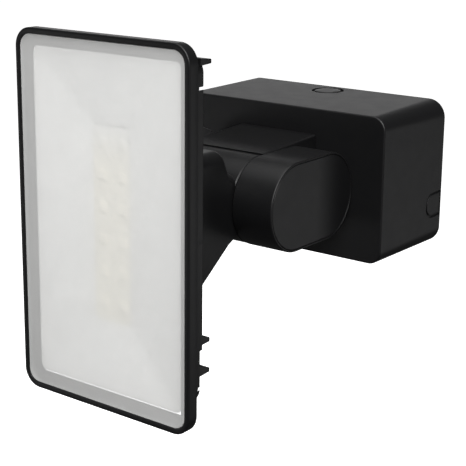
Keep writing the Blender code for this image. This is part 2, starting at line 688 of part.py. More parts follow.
def make_diffuser_seal(finish, holder):
    """Rubber ring between the bezel's ledge and the cover."""
    half_x = FRAME_HALF_X - BEZEL - 0.0006
    half_z = FRAME_HALF_Z - BEZEL - 0.0006
    outer = rounded_rectangle(half_x, half_z, 0.0065)
    inner = rounded_rectangle(half_x - 0.0040, half_z - 0.0040, 0.0030)
    out = LEDGE_OUT + GAP
    finish_object("diffuser_seal", slab(outer, out, out + 0.0008, inner), finish, holder)


def make_reflector(finish, holder):
    """White tray: four sloping sides that narrow from the diffuser to the light board."""
    front_out, back_out = LEDGE_OUT - 0.0004, 0.2281
    wide = (0.0505, 0.0910, 0.0040)
    narrow = (0.0140, 0.0560, 0.0030)
    wall = 0.0008
    outer = []
    inner = []
    for (half_x, half_z, radius), out in ((wide, front_out), (narrow, back_out)):
        outer.append(at_out(rounded_rectangle(half_x, half_z, radius), out))
        inner.append(at_out(rounded_rectangle(half_x - wall, half_z - wall, radius), out))
    finish_object("reflector_tray", skin(outer, inner), finish, holder)


def make_light_board(finish, holder):
    """Aluminium circuit board with two rows of square light sources raised on it."""
    face_out = BOARD_OUT + BOARD_THICK
    sheet = slab(rounded_rectangle(0.0360, 0.0690, 0.002, 3), BOARD_OUT, face_out)
    board = finish_object("led_board", sheet, finish, holder)
    half_chip = 0.0022
    chips = []
    for column in (-0.0070, 0.0070):
        for row in range(6):
            z = -0.0450 + row * 0.0180
            chip = block((column - half_chip, column + half_chip), (face_out - 0.0004, face_out + 0.0008),
                         (z - half_chip, z + half_chip))
            chips.append(cutter(f"add_chip_{column:+.3f}_{row}", chip, holder))
    carve(board, chips, "UNION")


def make_thermal_pad(finish, holder):
    """Thin pad between the light board and the housing's floor."""
    sheet = slab(rounded_rectangle(0.0340, 0.0670, 0.002, 3), POCKET_FLOOR_OUT + GAP, BOARD_OUT - GAP)
    pad = finish_object("thermal_pad", sheet, finish, holder)
    hole = slab(circle(0.0055, SMALL_ROUND), 0.220, 0.232)
    carve(pad, [cutter("cut_pad_cable", hole, holder)])


def fin_outline(z, above, below):
    """One cooling rib as (out, z): its tip at height z, its root wider, more so above."""
    root = POCKET_FLOOR_OUT - 0.001
    return [(root, z + above), (FIN_TIP_OUT, z + FIN_TIP_HALF), (FIN_TIP_OUT, z - FIN_TIP_HALF),
            (root, z - below)]


def neck_outline():
    """The neck from the housing to the knuckle as (out, z): flat top, rear leaning forward."""
    corner = 0.0030
    centre = (0.1675, NECK_TOP - corner)
    points = [(HOUSING_REAR_OUT + 0.002, NECK_TOP)]
    for step in range(6):
        angle = math.radians(90.0 + 70.0 * step / 5)
        points.append((centre[0] + corner * math.cos(angle), centre[1] + corner * math.sin(angle)))
    knuckle_out = TILT_OUT + 0.0180
    points += [(0.1600, 0.0215), (knuckle_out, 0.0170), (knuckle_out, -0.0170),
               (0.1586, -0.0205), (0.1846, -0.0400), (0.1960, -0.0460),
               (HOUSING_REAR_OUT + 0.002, -0.0480)]
    return points


def neck_hollow_outline():
    """Space inside the neck as (out, z), a casting wall inside neck_outline."""
    floor = POCKET_FLOOR_OUT - 0.0042
    return [(floor, 0.0280), (0.1700, 0.0280), (0.1640, 0.0150), (0.1640, -0.0160),
            (0.1860, -0.0330), (floor, -0.0400)]


def make_neck(holder):
    """Bar from the housing to the knuckle, its upper long edges rounded."""
    section = [(-KNUCKLE_HALF, -0.060), (KNUCKLE_HALF, -0.060)]
    for sign, start in ((1, 0.0), (-1, 90.0)):
        for step in range(7):
            angle = math.radians(start + 90.0 * step / 6)
            section.append((sign * (KNUCKLE_HALF - NECK_EDGE) + NECK_EDGE * math.cos(angle),
                            NECK_TOP - NECK_EDGE + NECK_EDGE * math.sin(angle)))
    rounded_bar = cutter("keep_rounded_neck", slab(section, 0.140, 0.230), holder)
    neck = cutter("add_neck", bar(neck_outline(), -KNUCKLE_HALF, KNUCKLE_HALF), holder)
    carve(neck, [rounded_bar], "INTERSECT")
    return neck


def make_housing(finish, holder):
    """Back casting: shallow tray, cooling ribs, neck and the knuckle that turns in the arm."""
    centre = 0.5 * (HOUSING_TOP + HOUSING_BOTTOM)
    half_z = 0.5 * (HOUSING_TOP - HOUSING_BOTTOM)
    edge = 0.0010
    rear = rounded_rectangle(HOUSING_HALF_X - edge, half_z - edge, 0.0070, 5, centre)
    side = rounded_rectangle(HOUSING_HALF_X, half_z, 0.0080, 5, centre)
    stack = [at_out(rear, HOUSING_REAR_OUT), at_out(side, HOUSING_REAR_OUT + edge),
             at_out(side, HOUSING_FRONT_OUT)]
    housing = finish_object("head_housing", skin(stack), finish, holder)
    low_step = block((-0.070, 0.070), (HOUSING_REAR_OUT - 0.004, HOUSING_LOW_OUT), (-0.100, -0.0590))
    carve(housing, [cutter("cut_low_step", low_step, holder)])
    joined = []
    for index, fin in enumerate(FINS):
        rib = bar(fin_outline(*fin), -HOUSING_HALF_X, HOUSING_HALF_X)
        joined.append(cutter(f"add_fin_{index}", rib, holder))
    axis = (TILT_OUT, 0.0)
    knuckle = bar(circle(KNUCKLE_RADIUS, 48, axis), GAP - SLOT_HALF, SLOT_HALF - GAP)
    joined += [make_neck(holder), cutter("add_knuckle", knuckle, holder)]
    carve(housing, joined, "UNION")
    pocket = slab(rounded_rectangle(0.0515, 0.0835, 0.004, 4), POCKET_FLOOR_OUT, HEAD_OUT)
    neck_hollow = bar(neck_hollow_outline(), -0.0225, 0.0225)
    knuckle_hollow = bar(circle(0.0190, ROUND, axis), -0.0125, 0.0125)
    cable = slab(circle(CABLE_BORE, SMALL_ROUND), 0.100, 0.228)
    cuts = [cutter("cut_head_pocket", pocket, holder), cutter("cut_neck_hollow", neck_hollow, holder),
            cutter("cut_knuckle_hollow", knuckle_hollow, holder),
            cutter("cut_head_cable", cable, holder)]
    for sign in (-1, 1):
        bore = bar(circle(PIVOT_RADIUS + GAP, ROUND, axis), sign * 0.0140, sign * 0.030)
        seat = bar(circle(WASHER_RADIUS + GAP, ROUND, axis), sign * KNUCKLE_HALF, sign * 0.030)
        cuts += [cutter(f"cut_knuckle_bore_{sign}", bore, holder),
                 cutter(f"cut_washer_seat_{sign}", seat, holder)]
    for index, place in enumerate(frame_screw_places()):
        hole = slab(circle(0.0015, SMALL_ROUND, place), 0.210, 0.240)
        sink = slab(circle(0.0030, SMALL_ROUND, place), 0.210, SCREW_SEAT_OUT)
        cuts += [cutter(f"cut_housing_screw_{index}", hole, holder),
                 cutter(f"cut_housing_sink_{index}", sink, holder)]
    carve(housing, cuts)


def make_lead_grommet(finish, holder):
    """Rubber bush where the lead passes from the neck into the lamp head."""
    outer = circle(CABLE_BORE - GAP, SMALL_ROUND)
    inner = circle(0.0030, SMALL_ROUND)
    finish_object("lead_grommet", slab(outer, 0.2185, 0.2250, inner), finish, holder)


def make_frame_screws(finish, holder):
    """The six screws that hold the bezel, driven from behind."""
    for index, (x, z) in enumerate(frame_screw_places(), start=1):
        screw(f"frame_screw_{index}", finish, (x, -(SCREW_SEAT_OUT - GAP), z), (0, -1, 0),
              (0.0026, 0.0016), (0.0011, 0.0058), holder)


# ---------------------------------------------------------------- assembly
def main():
    clear_scene()
    finishes = make_finishes()
    arm_pivot = pivot("arm_pivot", (0.0, -ROOT_OUT, 0.0))
    head_pivot = pivot("head_pivot", (0.0, -TILT_OUT, 0.0), arm_pivot)

    make_box_cover(finishes["box"])
    make_wall_plate(finishes["plate"])
    make_box_seal(finishes["rubber"])
    make_top_knockout(finishes["box"])
    make_side_knockout(finishes["box"])
    make_rear_grommet(finishes["rubber"])
    make_driver(finishes["grey"])
    make_terminal_block(finishes["nylon"])
    make_box_screws(finishes)
    make_stop_pin(finishes["steel"])

    make_arm(finishes["black"], arm_pivot)
    make_end_caps(finishes["black"], arm_pivot)
    make_tilt_hardware(finishes, arm_pivot)
    make_swivel_hardware(finishes, arm_pivot)

    make_housing(finishes["black"], head_pivot)
    make_front_frame(finishes["black"], head_pivot)
    make_diffuser(finishes["white"], head_pivot)
    make_diffuser_seal(finishes["rubber"], head_pivot)
    make_reflector(finishes["reflector"], head_pivot)
    make_light_board(finishes["board"], head_pivot)
    make_thermal_pad(finishes["pad"], head_pivot)
    make_lead_grommet(finishes["rubber"], head_pivot)
    make_frame_screws(finishes["blackened"], head_pivot)


main()
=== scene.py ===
"""Wall-mounted LED floodlight: finished outer surfaces, materials and studio, round its fixed frame.

Metres, +Z up.  The wall is the plane y = 0 and the lamp stands out from it towards -Y, so "out" is
the distance from the wall and y = -out.  Laid out as an add-on, and run as a script.
"""

import math

import bmesh
import bpy
import numpy as np
from bpy.props import FloatProperty, FloatVectorProperty, PointerProperty
from mathutils import Matrix, Vector


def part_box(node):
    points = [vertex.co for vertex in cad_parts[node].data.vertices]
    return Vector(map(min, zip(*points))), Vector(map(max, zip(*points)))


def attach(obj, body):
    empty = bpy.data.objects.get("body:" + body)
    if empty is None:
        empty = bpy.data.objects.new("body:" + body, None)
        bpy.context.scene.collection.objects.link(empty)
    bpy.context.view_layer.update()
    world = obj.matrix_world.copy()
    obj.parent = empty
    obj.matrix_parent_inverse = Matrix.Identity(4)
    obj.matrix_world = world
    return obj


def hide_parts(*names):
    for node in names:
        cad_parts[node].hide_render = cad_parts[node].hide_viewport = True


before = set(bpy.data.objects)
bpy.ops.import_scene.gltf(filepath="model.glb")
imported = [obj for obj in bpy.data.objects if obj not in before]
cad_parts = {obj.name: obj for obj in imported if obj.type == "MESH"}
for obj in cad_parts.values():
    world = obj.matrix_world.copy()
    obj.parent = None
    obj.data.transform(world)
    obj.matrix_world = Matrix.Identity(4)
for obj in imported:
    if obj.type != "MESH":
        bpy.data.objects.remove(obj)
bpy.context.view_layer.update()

bl_info = {
    "name": "Wall Floodlight Finisher",
    "version": (1, 0, 0),
    "blender": (4, 5, 0),
    "location": "View3D > Sidebar > Floodlight",
    "description": "Builds the finished surfaces, materials and studio of a wall-mounted floodlight",
    "category": "Add Mesh",
}

# ---------------------------------------------------------------- places taken from the frame
GAP = 0.0003                      # clearance between pieces that rest on each other
ARC = 14                          # steps in a quarter turn of an outline's corner
EDGE = 5                          # steps in a rounded edge
FULL = 96                         # sides of a large turned piece

LEDGE_OUT = 0.0068                # inner ledge of the wall box, against its seal
SWIVEL_HOLE = 0.0114              # radius of the hole that takes the arm's spigot
SPIGOT_RADIUS = 0.0110
SPIGOT_LENGTH = 0.0148            # how far the spigot stands behind the root block's face
CABLE_RADIUS = 0.0075
SIDE_START = 0.0012               # the side knock-out's groove stops this far from the wall
SLOT_UPPER = 0.0030               # the slot's upper and lower edges lie this far behind the axis
SLOT_LOWER = 0.0153
KNUCKLE_HALF = 0.0276
NECK_TOP = 0.0340
NECK_ROLL = 0.0030                # radius of the roll at the neck's rear top corner
NECK_ROLL_OUT = 0.1675            # distance of that roll's centre from the wall
NECK_REAR = ((0.1504, 0.0170), (0.1600, 0.0215))    # the neck's top (out, height) behind the roll
NECK_UNDER = ((0.1504, -0.0170), (0.1586, -0.0205), (0.1846, -0.0400), (0.1960, -0.0460),
              (0.2246, -0.0480))  # its underside
RIBS = ((0.0929, 0.0022, 0.0017), (0.0567, 0.0046, 0.0017),     # height of each rib's tip, and how
        (-0.0548, 0.0046, 0.0017), (-0.0719, 0.0046, 0.0017))   # far its root is above and below
POCKET = (0.0515, 0.0835, 0.0040)  # half width, half height and radius of the head's hollow
POCKET_OUT = 0.2252
TRAY_BACK = (0.0136, 0.0556, 0.0030)


def out_span(node):
    """Nearest and furthest distance from the wall of a node."""
    low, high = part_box(node)
    return -high.y, -low.y


BOX_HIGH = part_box("wall_box_cover")[1]
BOX_DEPTH = out_span("wall_box_cover")[1]
CAP_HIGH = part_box("arm_end_cap_right")[1]
CAP_RADIUS = CAP_HIGH.z
ARM_HALF = CAP_HIGH.x
TILT_OUT = out_span("arm_end_cap_right")[1] - CAP_RADIUS
ARM_REAR_OUT = out_span("arm_end_cap_right")[0] + CAP_RADIUS
FRAME_LOW, FRAME_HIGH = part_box("front_frame")
FRAME_REAR, HEAD_OUT = out_span("front_frame")
HOUSING_LOW, HOUSING_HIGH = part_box("head_housing")
KNUCKLE_REAR, HOUSING_FRONT = out_span("head_housing")
DIFFUSER_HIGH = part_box("diffuser")[1]


# ---------------------------------------------------------------- settings
def length(name, default, description):
    return FloatProperty(name=name, default=default, min=0.0, description=description,
                         subtype="DISTANCE", unit="LENGTH", precision=5)


def factor(name, default, description, high=1.0):
    return FloatProperty(name=name, default=default, min=0.0, max=high, description=description)


def watts(name, default, description):
    return FloatProperty(name=name, default=default, min=0.0, description=description,
                         subtype="POWER", unit="POWER")


def paint(name, default, description):
    return FloatVectorProperty(name=name, default=default, size=3, min=0.0, max=1.0,
                               subtype="COLOR", description=description)


class BoxSettings(bpy.types.PropertyGroup):
    """Sizes of the wall box."""

    taper: length("Taper", 0.0014, "How much narrower each side is at the front than at the wall")
    front_radius: length("Front corner radius", 0.0087, "Corner radius of the box's front")
    back_radius: length("Back corner radius", 0.0116, "Corner radius of the box at the wall")
    front_edge: length("Front edge radius", 0.0010, "Radius of the edge round the front face")
    back_edge: length("Back edge radius", 0.0005, "Radius of the edge against the wall")
    wall: length("Wall thickness", 0.0030, "Thickness of the moulded wall")
    rim_wall: length("Rim thickness", 0.0016, "Wall thickness round the plate and seal")
    groove: length("Groove depth", 0.0013, "Depth of the grooves round the knock-outs")
    top_groove: length("Top groove width", 0.0017, "Width of the groove round the top knock-out")
    side_groove: length("Side groove width", 0.0009, "The same, round the side knock-out")
    notch_radius: length("Notch radius", 0.0077, "Corner radius of the side knock-out")


class ArmSettings(bpy.types.PropertyGroup):
    """Sizes of the swivelling arm."""

    cap_inset: length("Cap inset", 0.0012, "Width of the arm's lip round each end cap")
    edge: length("End edge radius", 0.0007, "Radius of the edge at each end of the arm")
    root_half: length("Root half width", 0.0285, "Half width of the block that meets the box")
    root_radius: length("Root edge radius", 0.0012, "Radius of the root block's long edges")
    root_nose_rise: length("Root nose height", 0.0268, "Half height at the root block's far end")
    slot_half: length("Slot half width", 0.0288, "Half width of the slot that takes the knuckle")
    slot_radius: length("Slot radius", 0.0266, "Radius of the round seat behind the knuckle")


class HeadSettings(bpy.types.PropertyGroup):
    """Sizes of the lamp head."""

    bezel: length("Bezel width", 0.0034, "Width of the frame's front face")
    corner: length("Frame corner radius", 0.0107, "Outer corner radius of the frame")
    frame_edge: length("Frame edge radius", 0.0008, "Radius of the frame's front edge")
    rear_out: length("Housing rear", 0.2216, "Distance from the wall of the housing's rear face")
    low_rear_out: length("Lower housing rear", 0.2242, "The same, on the thinner lower part")
    rib_tip_out: length("Rib tips", 0.2156, "Distance from the wall of the cooling ribs' tips")
    rib_tip: length("Rib tip half height", 0.0012, "Half height of a cooling rib at its tip")
    rib_edge: length("Rib edge radius", 0.0006, "Radius of a cooling rib's edges")
    neck_radius: length("Neck edge radius", 0.0075, "Radius of the neck's upper long edges")
    tray_half_x: length("Tray half width", 0.0521, "Half width of the reflector's mouth")
    tray_half_z: length("Tray half height", 0.0934, "Half height of the reflector's mouth")


class FinishSettings(bpy.types.PropertyGroup):
    """Colours and gloss of the finishes."""

    casting: paint("Casting paint", (0.0042, 0.0042, 0.0045), "Powder coat of the castings")
    plastic: paint("Box plastic", (0.0042, 0.0042, 0.0045), "Moulded plastic of the wall box")
    cover: paint("Frosted cover", (0.80, 0.80, 0.79), "Opal front cover")
    cover_alpha: factor("Cover density", 0.34, "Share of the light that the opal cover scatters")
    casting_roughness: factor("Casting roughness", 0.40, "Roughness of the powder coat")
    plastic_roughness: factor("Plastic roughness", 0.42, "Roughness of the moulded plastic")


class StageSettings(bpy.types.PropertyGroup):
    """Camera, lights and floor."""

    azimuth: FloatProperty(name="Azimuth", default=math.radians(36.928), subtype="ANGLE",
                           description="Camera's place round the lamp")
    elevation: FloatProperty(name="Elevation", default=math.radians(13.752), subtype="ANGLE",
                             description="Camera's height above the horizon")
    roll: FloatProperty(name="Roll", default=math.radians(0.621), subtype="ANGLE",
                        description="Camera's roll")
    distance: length("Distance", 0.7451, "Camera's distance from its target")
    lens: FloatProperty(name="Lens", default=95.1, min=1.0, subtype="DISTANCE_CAMERA",
                        description="Focal length")
    floor_drop: length("Floor drop", 0.40, "How far the floor lies below the lamp")
    key: watts("Key light", 62.0, "Light on the front, from the upper right")
    top: watts("Top light", 14.0, "Light from above")
    back: watts("Back light", 2.5, "Light behind on the left, seen in upward faces")
    side: watts("Side light", 2.0, "Light behind on the right, seen in the right-hand faces")
    fill: watts("Fill light", 1.5, "Low light in front on the left")
    ambient: factor("Ambient", 0.06, "Brightness of the room round the lamp")


# ---------------------------------------------------------------- outlines, as whole arrays
def arc(centre, radius, start, end, steps=ARC):
    """Points centre + radius (cos t, sin t), for t from start to end in degrees."""
    turn = np.radians(np.linspace(start, end, steps + 1))
    return np.stack([centre[0] + radius * np.cos(turn), centre[1] + radius * np.sin(turn)], axis=1)


def rounded(half_a, half_b, radius, middle=0.0, steps=ARC, support=0.0006):
    """Rounded rectangle, anticlockwise: four quarter arcs, each with a point just before and after
    it on the straight sides, so that the shading stays flat there."""
    near = min(support, 0.4 * (half_a - radius), 0.4 * (half_b - radius))
    pieces = []
    for sign_a, sign_b, start in ((1, 1, 0), (-1, 1, 90), (-1, -1, 180), (1, -1, 270)):
        centre = (sign_a * (half_a - radius), middle + sign_b * (half_b - radius))
        bend = arc(centre, radius, start, start + 90, steps)
        before = np.radians(start - 90)
        after = np.radians(start + 180)
        lead = bend[0] + near * np.array([math.cos(before), math.sin(before)])
        tail = bend[-1] + near * np.array([math.cos(after), math.sin(after)])
        pieces += [lead[None], bend, tail[None]]
    return np.concatenate(pieces)


def pill(radius, steps=36):
    """The arm seen from its end, as (out, z): two half circles joined by straight lines."""
    front = arc((TILT_OUT, 0.0), radius, -90, 90, steps)
    rear = arc((ARM_REAR_OUT, 0.0), radius, 90, 270, steps)
    lead = np.array([[TILT_OUT - 0.002, radius], [ARM_REAR_OUT + 0.002, radius]])
    return np.concatenate([front, lead, rear, lead[::-1] * (1, -1)])


def edge_round(radius, steps=EDGE):
    """A quarter round as (inset, rise) pairs: inset = r (1 - cos t), rise = r sin t, for t from 0
    to 90 degrees."""
    turn = np.radians(np.linspace(0, 90, steps + 1))
    return np.stack([radius * (1 - np.cos(turn)), radius * np.sin(turn)], axis=1)


def at_out(outline, out):
    """An (x, z) outline at a distance from the wall."""
    return np.stack([outline[:, 0], np.full(len(outline), -out), outline[:, 1]], axis=1)


def at_x(outline, x):
    """An (out, z) outline at a place across the lamp."""
    return np.stack([np.full(len(outline), x), -outline[:, 0], outline[:, 1]], axis=1)


# ---------------------------------------------------------------- surfaces
def loft(rings, ends=True):
    """Skin over a stack of closed rings: point (i, j) of the grid is point j of ring i, ring i is
    joined to ring i + 1, and each end is closed by a flat face.  Without ends the last ring joins
    the first."""
    rings = np.asarray(rings, float)
    rows, around = rings.shape[:2]
    index = np.arange(rows * around).reshape(rows, around)
    stack = index if ends else np.vstack([index, index[:1]])
    turned = np.roll(stack, -1, axis=1)
    quads = np.stack([stack[:-1], turned[:-1], turned[1:], stack[1:]], axis=-1).reshape(-1, 4)
    faces = quads.tolist()
    if ends:
        faces += [index[0][::-1].tolist(), index[-1].tolist()]
    return rings.reshape(-1, 3), faces


def sweep_out(stations, outline):
    """Rings of outline(inset) placed by (inset, out) stations: a profile carried round an outline."""
    return [at_out(outline(inset), out) for inset, out in stations]


def turned(profile, centre, axis, across, sides=FULL, bend=None):
    """Surface of revolution: point (i, j) = centre + axis along_i + radius_i (across cos t_j +
    other sin t_j), for profile rows (radius, along).  bend, if given, maps (radii, turns) to a
    change along the axis of the rows above along = 0."""
    profile = np.asarray(profile, float)
    turn = np.linspace(0.0, math.tau, sides, endpoint=False)
    axis = np.asarray(axis, float)
    across = np.asarray(across, float)
    other = np.cross(axis, across)
    radius = profile[:, :1]
    along = np.repeat(profile[:, 1:], sides, axis=1)
    if bend is not None:
        along = along + np.where(along > 0.0, bend(radius, turn[None, :]), 0.0)
    ring = across[None] * np.cos(turn)[:, None] + other[None] * np.sin(turn)[:, None]
    points = np.asarray(centre, float) + along[..., None] * axis + radius[..., None] * ring[None]
    return points


def raw_mesh(name, shells):
    """One mesh from several (points, faces) shells."""
    points = []
    faces = []
    start = 0
    for shell_points, shell_faces in shells:
        points.append(np.asarray(shell_points, float))
        faces += [[start + i for i in face] for face in shell_faces]
        start += len(shell_points)
    mesh = bpy.data.meshes.new(name)
    mesh.from_pydata(np.concatenate(points).tolist(), [], faces)
    return mesh


def tidy_mesh(mesh, angle=32.0):
    """Weld seams, turn the faces outwards and shade smooth between sharp edges."""
    build = bmesh.new()
    build.from_mesh(mesh)
    bmesh.ops.remove_doubles(build, verts=build.verts, dist=2e-6)
    bmesh.ops.dissolve_degenerate(build, edges=build.edges, dist=1e-6)
    bmesh.ops.recalc_face_normals(build, faces=build.faces)
    build.to_mesh(mesh)
    build.free()
    mesh.shade_smooth()
    mesh.set_sharp_from_angle(angle=math.radians(angle))
    mesh.update()


def piece(name, shells, finish, body, slot, *nodes, angle=32.0):
    """A finished piece that stands for its nodes and moves with its body."""
    mesh = shells if isinstance(shells, bpy.types.Mesh) else raw_mesh(name, shells)
    tidy_mesh(mesh, angle)
    item = bpy.data.objects.new(name, mesh)
    bpy.context.scene.collection.objects.link(item)
    mesh.materials.clear()
    mesh.materials.append(finish)
    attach(item, body)
    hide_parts(*nodes)
    return item


def combine(name, base, steps):
    """Join and cut closed shells: steps are (operation, shell) pairs done in order on base."""
    helpers = []

    def helper(label, shell):
        mesh = raw_mesh(label, [shell])
        tidy_mesh(mesh)
        item = bpy.data.objects.new(label, mesh)
        bpy.context.scene.collection.objects.link(item)
        helpers.append(item)
        return item

    body = helper(name + "_blank", base)
    for index, (operation, shell) in enumerate(steps):
        step = body.modifiers.new(f"step_{index}", "BOOLEAN")
        step.operation = operation
        step.solver = "EXACT"
        step.object = helper(f"{name}_step_{index}", shell)
    bpy.context.view_layer.update()
    depsgraph = bpy.context.evaluated_depsgraph_get()
    mesh = bpy.data.meshes.new_from_object(body.evaluated_get(depsgraph))
    mesh.name = name
    for item in helpers:
        spare = item.data
        bpy.data.objects.remove(item, do_unlink=True)
        bpy.data.meshes.remove(spare)
    return mesh


# ---------------------------------------------------------------- material building blocks
class Finish:
    """A Principled material with short helpers for its procedural nodes."""

    def __init__(self, name, colour, roughness, metallic=0.0, specular=0.5):
        self.material = bpy.data.materials.new(name)
        self.material.use_nodes = True
        self.tree = self.material.node_tree
        self.shader = self.tree.nodes["Principled BSDF"]
        self.shader.inputs["Base Color"].default_value = (*colour, 1.0)
        self.shader.inputs["Roughness"].default_value = roughness
        self.shader.inputs["Metallic"].default_value = metallic
        self.shader.inputs["Specular IOR Level"].default_value = specular
        self.place = self.tree.nodes.new("ShaderNodeTexCoord")
        self.material.diffuse_color = (*colour, 1.0)

    def link(self, source, target):
        self.tree.links.new(source, target)

    def stretched(self, scale):
        """Object coordinates stretched by a scale for each axis."""
        node = self.tree.nodes.new("ShaderNodeMapping")
        node.inputs["Scale"].default_value = scale
        self.link(self.place.outputs["Object"], node.inputs["Vector"])
        return node.outputs["Vector"]

    def noise(self, scale, detail=3.0, vector=None, rough=0.5):
        node = self.tree.nodes.new("ShaderNodeTexNoise")
        node.inputs["Scale"].default_value = scale
        node.inputs["Detail"].default_value = detail
        node.inputs["Roughness"].default_value = rough
        self.link(vector or self.place.outputs["Object"], node.inputs["Vector"])
        return node.outputs["Fac"]

    def cells(self, scale, feature="F1", vector=None):
        node = self.tree.nodes.new("ShaderNodeTexVoronoi")
        node.feature = feature
        node.inputs["Scale"].default_value = scale
        self.link(vector or self.place.outputs["Object"], node.inputs["Vector"])
        return node.outputs["Distance"]

    def ranged(self, value, low, high, from_low=0.3, from_high=0.7, smooth=True):
        """Map a value to a range, eased at both ends."""
        node = self.tree.nodes.new("ShaderNodeMapRange")
        node.interpolation_type = "SMOOTHSTEP" if smooth else "LINEAR"
        node.inputs["From Min"].default_value = from_low
        node.inputs["From Max"].default_value = from_high
        node.inputs["To Min"].default_value = low
        node.inputs["To Max"].default_value = high
        self.link(value, node.inputs["Value"])
        return node.outputs["Result"]

    def maths(self, operation, first, second=None):
        node = self.tree.nodes.new("ShaderNodeMath")
        node.operation = operation
        for socket, value in zip(node.inputs, (first, second)):
            if isinstance(value, (int, float)):
                socket.default_value = value
            elif value is not None:
                self.link(value, socket)
        return node.outputs["Value"]

    def axis(self, name):
        node = self.tree.nodes.new("ShaderNodeSeparateXYZ")
        self.link(self.place.outputs["Object"], node.inputs["Vector"])
        return node.outputs[name]

    def mixed(self, share, first, second):
        """Colour between first and second; either may be a colour or a socket."""
        node = self.tree.nodes.new("ShaderNodeMix")
        node.data_type = "RGBA"
        self.link(share, node.inputs["Factor"])
        for socket, value in zip(node.inputs[6:8], (first, second)):
            if isinstance(value, tuple):
                socket.default_value = (*value, 1.0)
            else:
                self.link(value, socket)
        return node.outputs[2]

    def bump(self, height, distance, strength=1.0, below=None):
        node = self.tree.nodes.new("ShaderNodeBump")
        node.inputs["Strength"].default_value = strength
        node.inputs["Distance"].default_value = distance
        self.link(height, node.inputs["Height"])
        if below is not None:
            self.link(below, node.inputs["Normal"])
        return node.outputs["Normal"]

    def set(self, **sockets):
        for name, source in sockets.items():
            self.link(source, self.shader.inputs[name.replace("_", " ").title()])
        return self.material


def shade(colour, amount):
    return tuple(min(1.0, c * amount) for c in colour)


def powder_coat(name, colour, roughness, grain=2600.0, depth=0.00003):
    """Satin powder coat: fine orange peel, faint cloudy change of colour and gloss."""
    finish = Finish(name, colour, roughness, specular=0.25)
    cloud = finish.noise(38.0, 4.0)
    peel = finish.noise(grain, 2.0)
    wave = finish.noise(420.0, 2.0)
    tone = finish.mixed(finish.ranged(cloud, 0.0, 1.0), shade(colour, 0.96), shade(colour, 1.05))
    gloss = finish.ranged(finish.noise(160.0, 3.0), roughness - 0.010, roughness + 0.012)
    skin = finish.bump(wave, depth * 1.4, 0.35)
    return finish.set(base_color=tone, roughness=gloss, normal=finish.bump(peel, depth, 0.5, skin))


def moulded_plastic(name, colour, roughness, grain=1700.0, depth=0.00004):
    """Spark-textured moulding: rounded pits between a fine network, faint flow clouds."""
    finish = Finish(name, colour, roughness, specular=0.25)
    cloud = finish.noise(26.0, 5.0)
    pits = finish.cells(grain, "SMOOTH_F1")
    speck = finish.noise(grain * 1.8, 2.0)
    tone = finish.mixed(finish.ranged(cloud, 0.0, 1.0), shade(colour, 0.96), shade(colour, 1.05))
    gloss = finish.ranged(finish.noise(120.0, 3.0), roughness - 0.010, roughness + 0.012)
    skin = finish.bump(speck, depth * 0.6, 0.4)
    return finish.set(base_color=tone, roughness=gloss, normal=finish.bump(pits, depth, 0.45, skin))


def brushed_metal(name, colour, roughness, scale=(60.0, 900.0, 900.0), metallic=1.0):
    """Drawn metal: streaks along one axis in colour, gloss and height."""
    finish = Finish(name, colour, roughness, metallic)
    streak = finish.noise(3.0, 4.0, finish.stretched(scale))
    tone = finish.mixed(finish.ranged(streak, 0.0, 1.0), shade(colour, 0.80), shade(colour, 1.12))
    gloss = finish.ranged(streak, roughness - 0.06, roughness + 0.10)
    return finish.set(base_color=tone, roughness=gloss, normal=finish.bump(streak, 0.00002, 0.5))


def zinc_sheet(name, colour, roughness):
    """Zinc plating: soft crystal patches with their own tone and gloss, and fine grain."""
    finish = Finish(name, colour, roughness, 1.0)
    patches = finish.cells(210.0)
    grain = finish.noise(900.0, 3.0)
    share = finish.ranged(patches, 0.0, 1.0, 0.1, 0.6)
    tone = finish.mixed(share, shade(colour, 0.78), shade(colour, 1.15))
    gloss = finish.ranged(patches, roughness - 0.08, roughness + 0.10, 0.1, 0.6)
    return finish.set(base_color=tone, roughness=gloss, normal=finish.bump(grain, 0.00002, 0.4))


def soft_rubber(name, colour, roughness):
    """Rubber or foam: matt, open pores and a dusty bloom."""
    finish = Finish(name, colour, roughness, 0.0, 0.3)
    pores = finish.cells(2300.0)
    bloom = finish.noise(140.0, 4.0)
    tone = finish.mixed(finish.ranged(bloom, 0.0, 1.0), shade(colour, 0.8), shade(colour, 1.6))
    gloss = finish.ranged(bloom, roughness - 0.05, roughness + 0.06)
    return finish.set(base_color=tone, roughness=gloss, normal=finish.bump(pores, 0.00006, 0.5))


def translucent_plastic(name, colour, roughness):
    """Natural nylon or light moulded plastic: milky tone change and a fine mould texture."""
    finish = Finish(name, colour, roughness)
    milk = finish.noise(90.0, 4.0)
    grain = finish.noise(2100.0, 2.0)
    tone = finish.mixed(finish.ranged(milk, 0.0, 1.0), shade(colour, 0.90), shade(colour, 1.06))
    gloss = finish.ranged(milk, roughness - 0.05, roughness + 0.05)
    return finish.set(base_color=tone, roughness=gloss, normal=finish.bump(grain, 0.00003, 0.4))


def opal_cover(name, colour, density):
    """Frosted front cover: scatters part of the light and lets the tray behind it show through."""
    finish = Finish(name, colour, 0.34, 0.0, 0.35)
    haze = finish.noise(55.0, 3.0)
    frost = finish.noise(3200.0, 2.0)
    tone = finish.mixed(finish.ranged(haze, 0.0, 1.0), shade(colour, 0.985), shade(colour, 1.01))
    gloss = finish.ranged(finish.noise(700.0, 2.0), 0.32, 0.40)
    finish.shader.inputs["Alpha"].default_value = density
    return finish.set(base_color=tone, roughness=gloss, normal=finish.bump(frost, 0.00002, 0.4))


